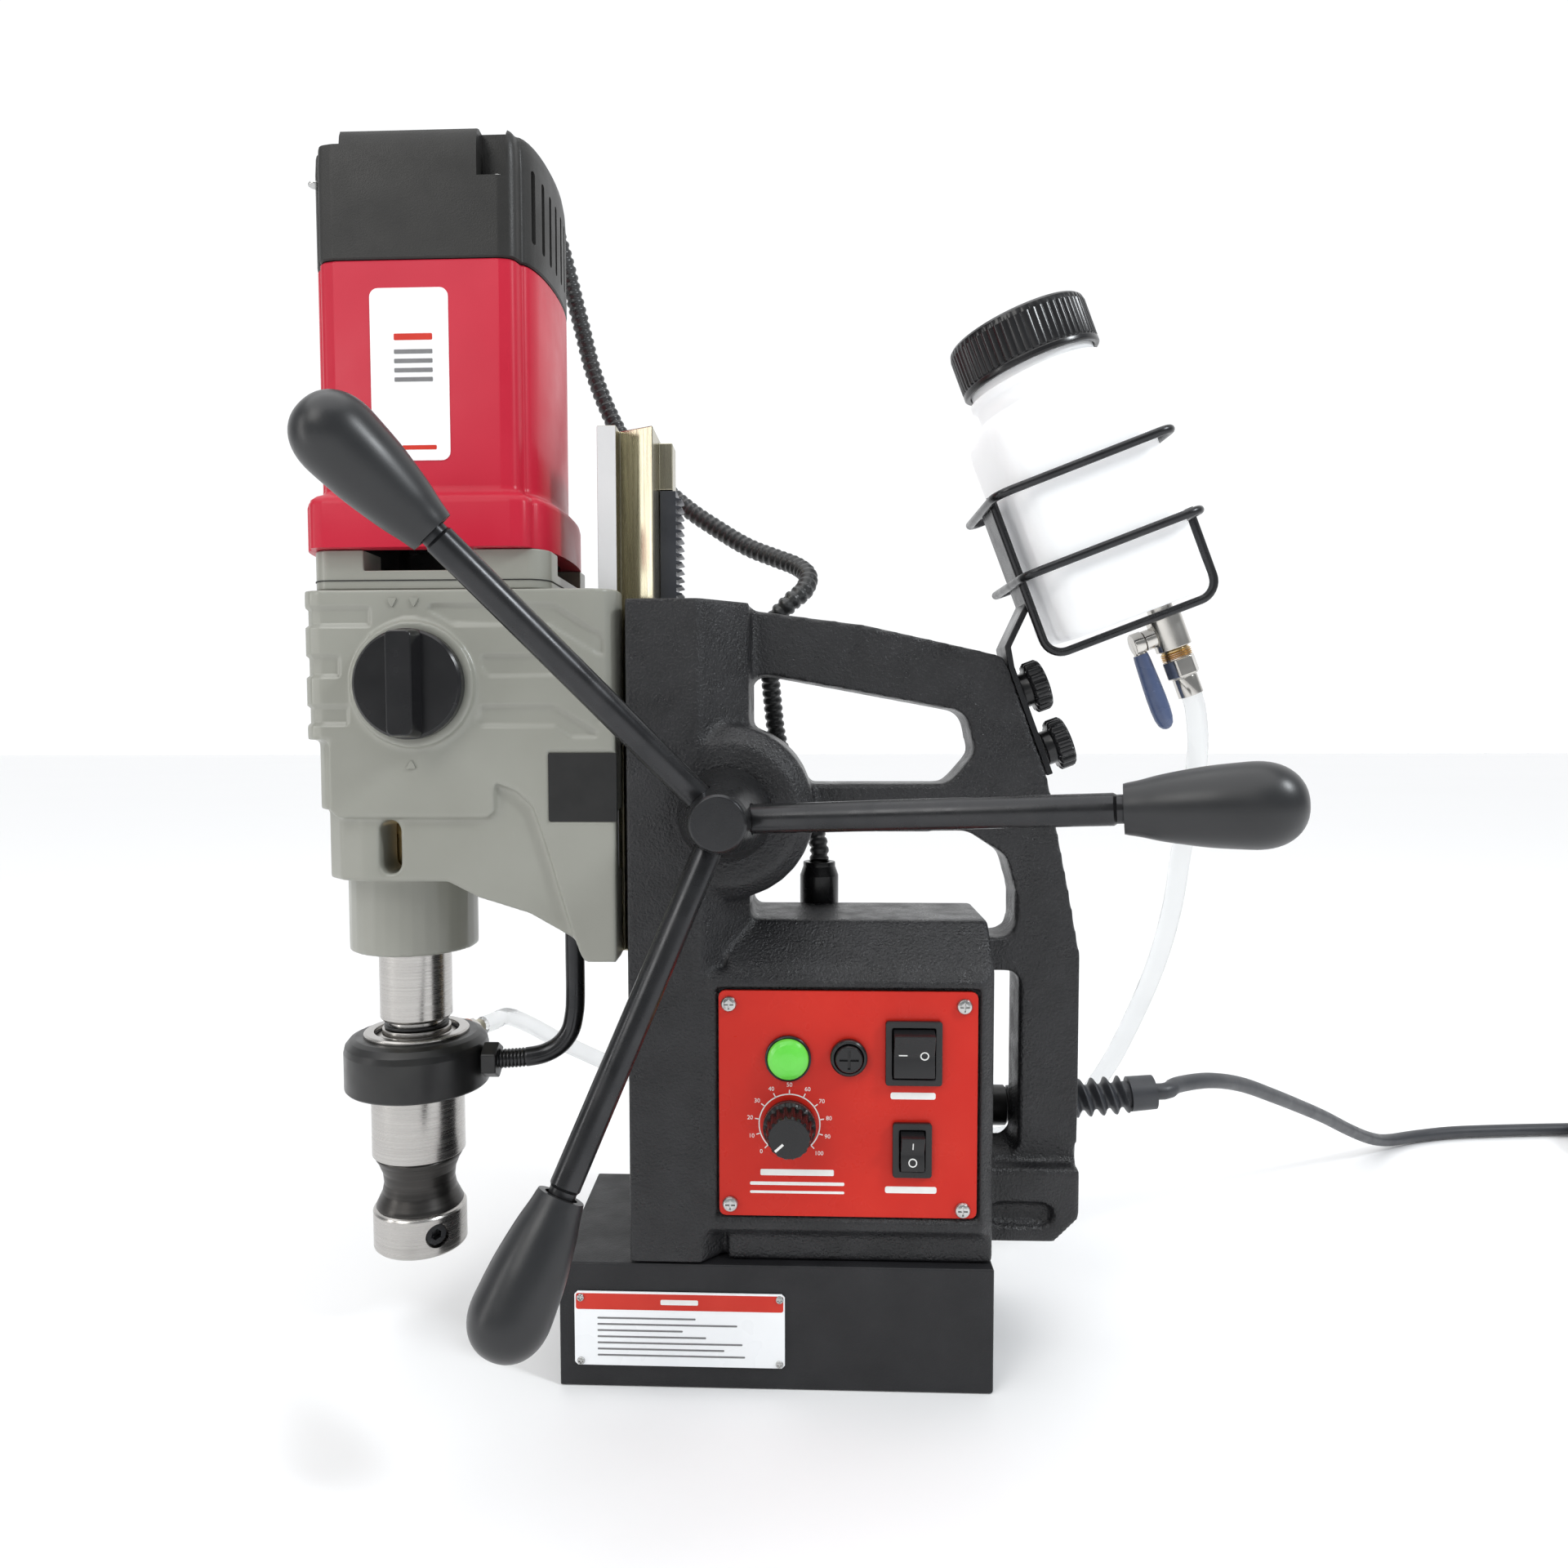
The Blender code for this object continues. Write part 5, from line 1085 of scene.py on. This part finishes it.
def selector():
    x, z = -136.0, 271.3
    disc = [(0, 32), (6, 32), (6, 44.9), (20.6, 44.9), (20.6, 49.3), (19.6, 50.3), (0, 50.3)]
    corners = [(x - 6.2, z - 19.9), (x + 6.2, z - 19.9), (x + 6.2, z + 19.9), (x - 6.2, z + 19.9)]

    def narrowed(across, up, radius):
        return rounded([(x + (a - x) * across, z + (b - z) * up) for a, b in corners], radius)

    whole = rounded(corners, 2.5)
    levels = ((whole, -49.5), (whole, -52.0), (narrowed(0.78, 0.96, 2.2), -57.6),
        (narrowed(0.70, 0.94, 2.0), -58.0))
    bar = loft([[Vector((a, h, b)) for a, b in line] for line, h in levels])
    knob = combined(turned(disc, (x, 0, z), FRONT, 96, fillet=0.5), adds=[bar])
    shape("gear_selector_knob", knob, "selector", GLOSS_BLACK, "black_plastic", ["gear_selector"], 0.35)


def spindle_parts():
    at = SPINDLE_AT
    body = [(0, 191), (8.4, 191), (8.4, 133), (13.6, 133), (14.75, 134.2), (14.75, 240), (8, 240), (8, 283),
        (0, 283)]
    shape("spindle_turned", turned(body, at, UP, 96, fillet=0.25), "spindle_group", TURNED_STEEL,
        "polished_steel", ["spindle"])
    bright_low = turned([(0, 61), (9.5, 61), (9.5, 36), (18.2, 36), (19.2, 37), (19.2, 52.0), (18.7, 52.8),
        (0, 63)], at, UP, 96, fillet=0.25)
    bright_low = combined(bright_low, [rod(5.0, 13, 30, GRUB_AT, GRUB_OUT, 40, 0)])
    shank = [(0, 70), (19.1, 76.0), (19.1, 103.6), (16.7, 104.4), (16.7, 125.8), (14.0, 127.0), (14.0, 129.5)]
    shank += [(11, 129.6), (11, 132.7), (8, 132.8), (8, 190), (0, 190)]
    bright_up = turned(shank, at, UP, 96, fillet=0.25)
    waist = turned([(0, 62.2), (18.6, 52.7), (17.2, 55.5), (15.3, 59.5), (14.5, 63.5), (15.0, 68.0),
        (16.8, 72.5), (18.8, 75.6), (0, 76.2)], at, UP, 96, fillet=1.2)
    shape("arbor_bright", joined(bright_low, bright_up), "spindle_group", TURNED_STEEL, "polished_steel",
        ["arbor"])
    shape("arbor_waist", waist, "spindle_group", WAIST_STEEL, "polished_steel")
    snap = turned([(11.2, 129.9), (13.2, 129.9), (13.2, 131.1), (11.2, 131.1)], at, UP, 64, hollow=True,
        fillet=0.2)
    shape("arbor_snap_ring", snap, "spindle_group", RING_BLACK, "blackened_steel")
    out = GRUB_OUT.normalized()
    grub = combined(rod(4.4, 12.0, 17.6, GRUB_AT, out, 40), [rod(2.3, 14.5, 20, GRUB_AT, out, 6, 0)])
    shape("arbor_grub_screw", grub, "spindle_group", ROD_BLACK, "blackened_steel", bevel=0.15)
    kept("spindle_gear", TURNED_STEEL)
    kept("spindle_bearing", BRASS)
    kept("layshaft", TURNED_STEEL)
    kept("armature", COPPER)
    kept("cooling_fan", GLOSS_BLACK)


def coolant_ring():
    at = SPINDLE_AT
    ring = [(17.2, 104.5), (28.7, 104.5), (29.5, 105.4), (29.5, 120.6), (28.9, 123.2), (27.0, 125.5),
        (24.8, 126.5), (17.2, 126.5)]
    body = turned(ring, at, UP, 96, hollow=True, fillet=0.7)
    shape("coolant_ring_turned", body, "carriage", RING_BLACK, "ring_black", ["coolant_ring"])
    collar = turned([(17.3, 126.4), (21.5, 126.4), (21.5, 127.6), (20.8, 128.2), (17.3, 128.2)], at, UP, 72,
        hollow=True, fillet=0.25)
    shape("coolant_ring_collar", collar, "carriage", TURNED_STEEL, "polished_steel")
    barb = [(0, 27), (3.3, 27), (3.3, 30.2), (3.3, 33.4), (2.9, 34), (3.6, 35.6), (2.9, 37.2), (3.6, 38.8),
        (2.6, 40), (0, 40)]
    shape("ring_barb", turned(barb, RING_BARB, BARB_OUT, 32, fillet=0.2), "carriage", IVORY, "bottle_white")
    washer = turned([(0, 29.0), (5.6, 29.0), (5.6, 31.0), (0, 31.0)], RING_BARB, BARB_OUT, 32, fillet=0.3)
    shape("ring_barb_washer", washer, "carriage", PINK_WASHER, "bearing_brass")
    nut = turned([(0, 31.1), (5.0, 31.1), (5.0, 35.0), (0, 35.0)], RING_BARB, BARB_OUT, 6)
    shape("ring_barb_nut", nut, "carriage", NICKEL, "valve_nickel", bevel=0.4)
    path = [STAY_ROOT, (-115, -4.6, 116.7), (-104, -3, 117.2), (-97, -1.5, 118.5), (-91, -0.6, 122)]
    path += [(-87, 0, 127.5), (-85.2, 0, 134.5), (-84.6, 0, 143), (-84.6, 0, 165), (-84.6, 0, 190)]
    points = smooth_path(path, 0.5)
    radii = [4.0 - (0.42 if i % 3 == 1 and p.x < -105 else 0.0) for i, p in enumerate(points)]
    shape("stay_rod_bent", tube(points, radii, 28), "carriage", ROD_BLACK, "blackened_steel", ["stay_rod"],
        sharp=60)
    nut = turned([(0, 0), (7.6, 0), (7.6, 6.4), (0, 6.4)], STAY_ROOT, RIGHT, 6)
    shape("stay_rod_nut", nut, "carriage", RING_BLACK, "blackened_steel", bevel=0.7, segments=3)


# ---------------------------------------------------------------- coolant bottle


def leaned(bm):
    """Puts a shape modelled upright about the bottle's frame into the leaning frame."""
    turn = Matrix((ALONG_U, Vector((0, 1, 0)), ALONG_V)).transposed().to_4x4()
    bm.transform(Matrix.Translation(BOTTLE_ORIGIN) @ turn)
    return bm


def bottle_ring(half, v, corner, points=9):
    """A square with round corners, or a circle when the corner is the whole half width."""
    ring = []
    for quadrant, (sx, sy) in enumerate(((1, 1), (-1, 1), (-1, -1), (1, -1))):
        for step in range(points):
            a = math.pi / 2 * (quadrant + step / (points - 1) * 0.98 + 0.01)
            ring.append(Vector((3.5 + sx * (half - corner) + corner * math.cos(a),
                sy * (half - corner) + corner * math.sin(a), v)))
    return ring


def bottle():
    outer = [(22.0, 3.6, 6), (25.0, 2.2, 7), (27.6, 2.6, 8), (29.0, 4.4, 9), (29.5, 7.5, 9.5),
        (29.2, 26, 9.5), (29.3, 60, 9.5)]
    outer += [(29.5, 85, 9.5), (29.3, 89.5, 10), (28.2, 92.2, 12), (26.8, 93.8, 20), (25.6, 94.6, 24),
        (25.0, 95.6, 25), (24.9, 100.6, 24.9)]
    outer += [(25.4, 101.4, 25.4), (26.5, 102.0, 26.5), (26.6, 104.3, 26.6), (25.4, 105.0, 25.4),
        (24.9, 106, 24.9), (24.9, 120.8, 24.9)]
    inside = [(22.8, 121, 22.8), (22.8, 95, 22.8), (26.6, 90, 9), (27.2, 84, 9), (27.0, 8, 8), (23.5, 4.4, 6)]
    rings = [bottle_ring(h, v, c) for h, v, c in outer + inside]
    shape("coolant_bottle_blown", leaned(loft(rings)), "stand", BOTTLE_WHITE_PAINTED_GLOW, "bottle_white",
        ["coolant_bottle"], sharp=60)
    at = leaning(3.5, 0, 0)
    cap = [(0, 124.6), (25.5, 124.6), (25.5, 107.3), (27.2, 107.3), (27.7, 107.9), (27.7, 109.4),
        (27.3, 109.9)]
    cap += [(27.75, 110.4), (27.75, 124.2), (27.2, 126.3), (26.2, 127.3), (23.6, 127.5), (23.0, 127.0),
        (0, 127.0)]
    cap = rounded(cap, 0.25, 2, closed=False)
    lid = turned(cap, at, ALONG_V, 240, flutes=(60, 0.55, 110.0, 125.2))
    shape("bottle_cap_ribbed", lid, "cap_of_bottle", GLOSS_BLACK, "black_plastic", ["bottle_cap"], sharp=45)


def wire(points, closed=False):
    return tube(points, 1.7, 16, closed)


def cage():
    wires = []
    for v in (31, 63):
        outline = rounded([(-34.6, -33), (35.8, -33), (35.8, 33), (-34.6, 33)], 6.5, 8)
        wires.append(wire([leaning(u, y, v) for u, y in outline], closed=True))
    hoop = rounded([(-31.6, 66), (-31.6, -1.2), (38.4, -1.2), (38.4, 34)], 7.5, 8, closed=False)
    wires.append(wire([leaning(u, -12.2, v) for u, v in hoop]))
    shape("wire_cage_welded", joined(*wires), "stand", ROD_BLACK, "blackened_steel", ["wire_cage"], sharp=50)
    finished("bottle_bracket", "stand", ROD_BLACK, "blackened_steel", 0.4)
    for name, body, x, z in (("upper", "upper_screw", 105.6, 271.3), ("lower", "lower_screw", 115.2, 248.1)):
        out = Vector((0.938, 0, 0.346))
        head = [(0, -7.0), (6.6, -7.0), (7, -6.6), (7, -3.4), (9.6, -3.2), (10.5, -2.4), (10.5, 2.4),
            (9.6, 3.3), (6.5, 3.3), (6.0, 2.9), (0, 2.9)]
        knob = turned(rounded(head, 0.3, 2, closed=False), (x, 0, z), out, 144, flutes=(16, 1.1, -3.3, 3.2))
        shape(f"thumb_screw_{name}_knurled", knob, body, GLOSS_BLACK, "black_plastic",
            [f"thumb_screw_{name}"], sharp=40)


def valve():
    at = leaning(19.0, 0, 0)
    body = [(0, -27.9), (5.6, -27.9), (5.6, -17.2), (5.0, -16.8), (5.0, -16.3), (7.0, -15.8), (7.0, -2.4),
        (6.4, -1.7), (5.0, -1.6), (5.0, 2.4), (0, 2.4)]
    stem = rod(4.2, 6, 10.5, leaning(19, 0, -9), -ALONG_U, 32)
    made = combined(turned(body, at, ALONG_V, 56, fillet=0.35), adds=[stem])
    shape("valve_body_plated", made, "stand", NICKEL, "valve_nickel", ["valve_body"], 0.2)
    nut = turned([(0, -27.6), (6.7, -27.6), (6.7, -20.2), (0, -20.2)], at, ALONG_V, 6)
    shape("valve_nut", nut, "stand", NICKEL, "valve_nickel", bevel=0.6, segments=3)
    thread = [(0, -19.9)]
    for k in range(4):
        thread += [(6.2, -19.8 + 0.8 * k), (5.5, -19.4 + 0.8 * k)]
    thread += [(5.5, -16.6), (0, -16.6)]
    shape("valve_thread", turned(thread, at, ALONG_V, 40), "stand", BRASS, "bearing_brass")
    disc = rod(4.6, 10.8, 15.3, leaning(19, 0, -9), -ALONG_U, 40, 0.5)
    shape("valve_lever_hub", disc, "valve_handle", NICKEL, "valve_nickel")
    lengths = [(-8, 2.0, 2.2), (-10, 2.2, 2.4), (-12, 2.3, 2.6), (-13.4, 2.4, 2.8), (-13.5, 2.9, 3.0),
        (-16, 3.2, 3.1)]
    lengths += [(-20, 3.4, 3.1), (-26, 3.7, 3.3), (-32, 3.9, 3.5), (-37, 3.9, 3.5), (-41, 3.6, 3.3),
        (-43.6, 2.9, 2.8), (-45.0, 1.8, 1.8), (-45.5, 0.7, 0.7)]
    rings = []
    for v, half_u, half_y in lengths:
        angles = [2 * math.pi * k / 28 for k in range(28)]
        rings.append([leaning(5.6 + half_u * math.cos(a), half_y * math.sin(a), v) for a in angles])
    shape("valve_lever_neck", loft(rings[:5]), "valve_handle", NICKEL, "valve_nickel")
    shape("valve_lever_grip", loft(rings[4:]), "valve_handle", VINYL_BLUE, "lever_blue", ["valve_lever"],
        sharp=60)
    sleeve = turned([(4.0, -36), (4.9, -36), (4.9, -28.2), (4.0, -28.2)], at, ALONG_V, 40, hollow=True,
        fillet=0.2)
    shape("hose_clamp", sleeve, "stand", NICKEL, "valve_nickel")


stand_casting()
foot()
panel()
rocker("motor", MOTOR_SWITCH, "motor_rocker_button", [("dash", -4.2, 0.02), ("ring", 3.8, 0.02)])
rocker("magnet", MAGNET_SWITCH, "magnet_rocker_button", [("bar", 0.0, 0.5), ("ring", 0.0, -0.5)])
glands()
feed_parts()
capstan()
gearbox()
motor()
slide()
selector()
spindle_parts()
coolant_ring()
bottle()
cage()
valve()

# ---------------------------------------------------------------- studio


FRONT_ROOM, BACK_WALL = (0.30, 0.31, 0.32, 1), (1.04, 1.05, 1.06, 1)
AREA_LIGHTS = (
    ("key", (-1.0, -1.5, 1.4), 0.8, 0.8, 9.0, (1.0, 0.99, 0.96)),
    ("window", (1.15, -0.62, 1.25), 0.22, 0.34, 13.0, (0.93, 0.97, 1.0)),
    ("strip", (-1.5, -0.75, 0.55), 0.18, 1.0, 4.0, (1.0, 0.99, 0.97)),
)


def studio():
    floor = loose(prism(rectangle(-9000, 9000, -9000, 9000), -6, -0.4))
    for vertex in floor.data.vertices:
        vertex.co *= MM
    floor.name = "floor"
    pale = surface("pale_floor", (0.87, 0.87, 0.875), 0.6, mottle=(1.2, (0.86, 0.86, 0.865), 0.8), vary=0.03)
    floor.data.materials.append(pale)
    world = bpy.data.worlds.new("studio")
    bpy.context.scene.world = world
    world.use_nodes = True
    tree = world.node_tree
    toward = tree.nodes.new("ShaderNodeTexCoord")
    parts = tree.nodes.new("ShaderNodeSeparateXYZ")
    ramp = tree.nodes.new("ShaderNodeMapRange")
    mix = tree.nodes.new("ShaderNodeMix")
    mix.data_type = "RGBA"
    ramp.interpolation_type = "SMOOTHSTEP"
    ramp.inputs["From Min"].default_value, ramp.inputs["From Max"].default_value = 0.0, 0.6
    mix.inputs["A"].default_value, mix.inputs["B"].default_value = FRONT_ROOM, BACK_WALL
    tree.links.new(toward.outputs["Generated"], parts.inputs["Vector"])
    tree.links.new(parts.outputs["Y"], ramp.inputs["Value"])
    tree.links.new(ramp.outputs["Result"], mix.inputs["Factor"])
    tree.links.new(mix.outputs["Result"], tree.nodes["Background"].inputs["Color"])
    for name, place, wide, high, power, colour in AREA_LIGHTS:
        data = bpy.data.lights.new(name, "AREA")
        data.shape, data.size, data.size_y = "RECTANGLE", wide, high
        data.energy, data.color = power, colour
        obj = bpy.data.objects.new(name, data)
        obj.location = place
        obj.rotation_euler = (Vector((-0.02, 0, 0.24)) - Vector(place)).to_track_quat("-Z", "Y").to_euler()
        bpy.context.scene.collection.objects.link(obj)
    sun = bpy.data.objects.new("overhead", bpy.data.lights.new("overhead", "SUN"))
    sun.data.energy, sun.data.angle = 1.75, math.radians(70)
    sun.rotation_euler = (math.radians(8), math.radians(-10), 0)
    bpy.context.scene.collection.objects.link(sun)
    view = bpy.context.scene.view_settings
    view.view_transform, view.look, view.exposure, view.gamma = "Standard", "None", 0.0, 1.0


studio()
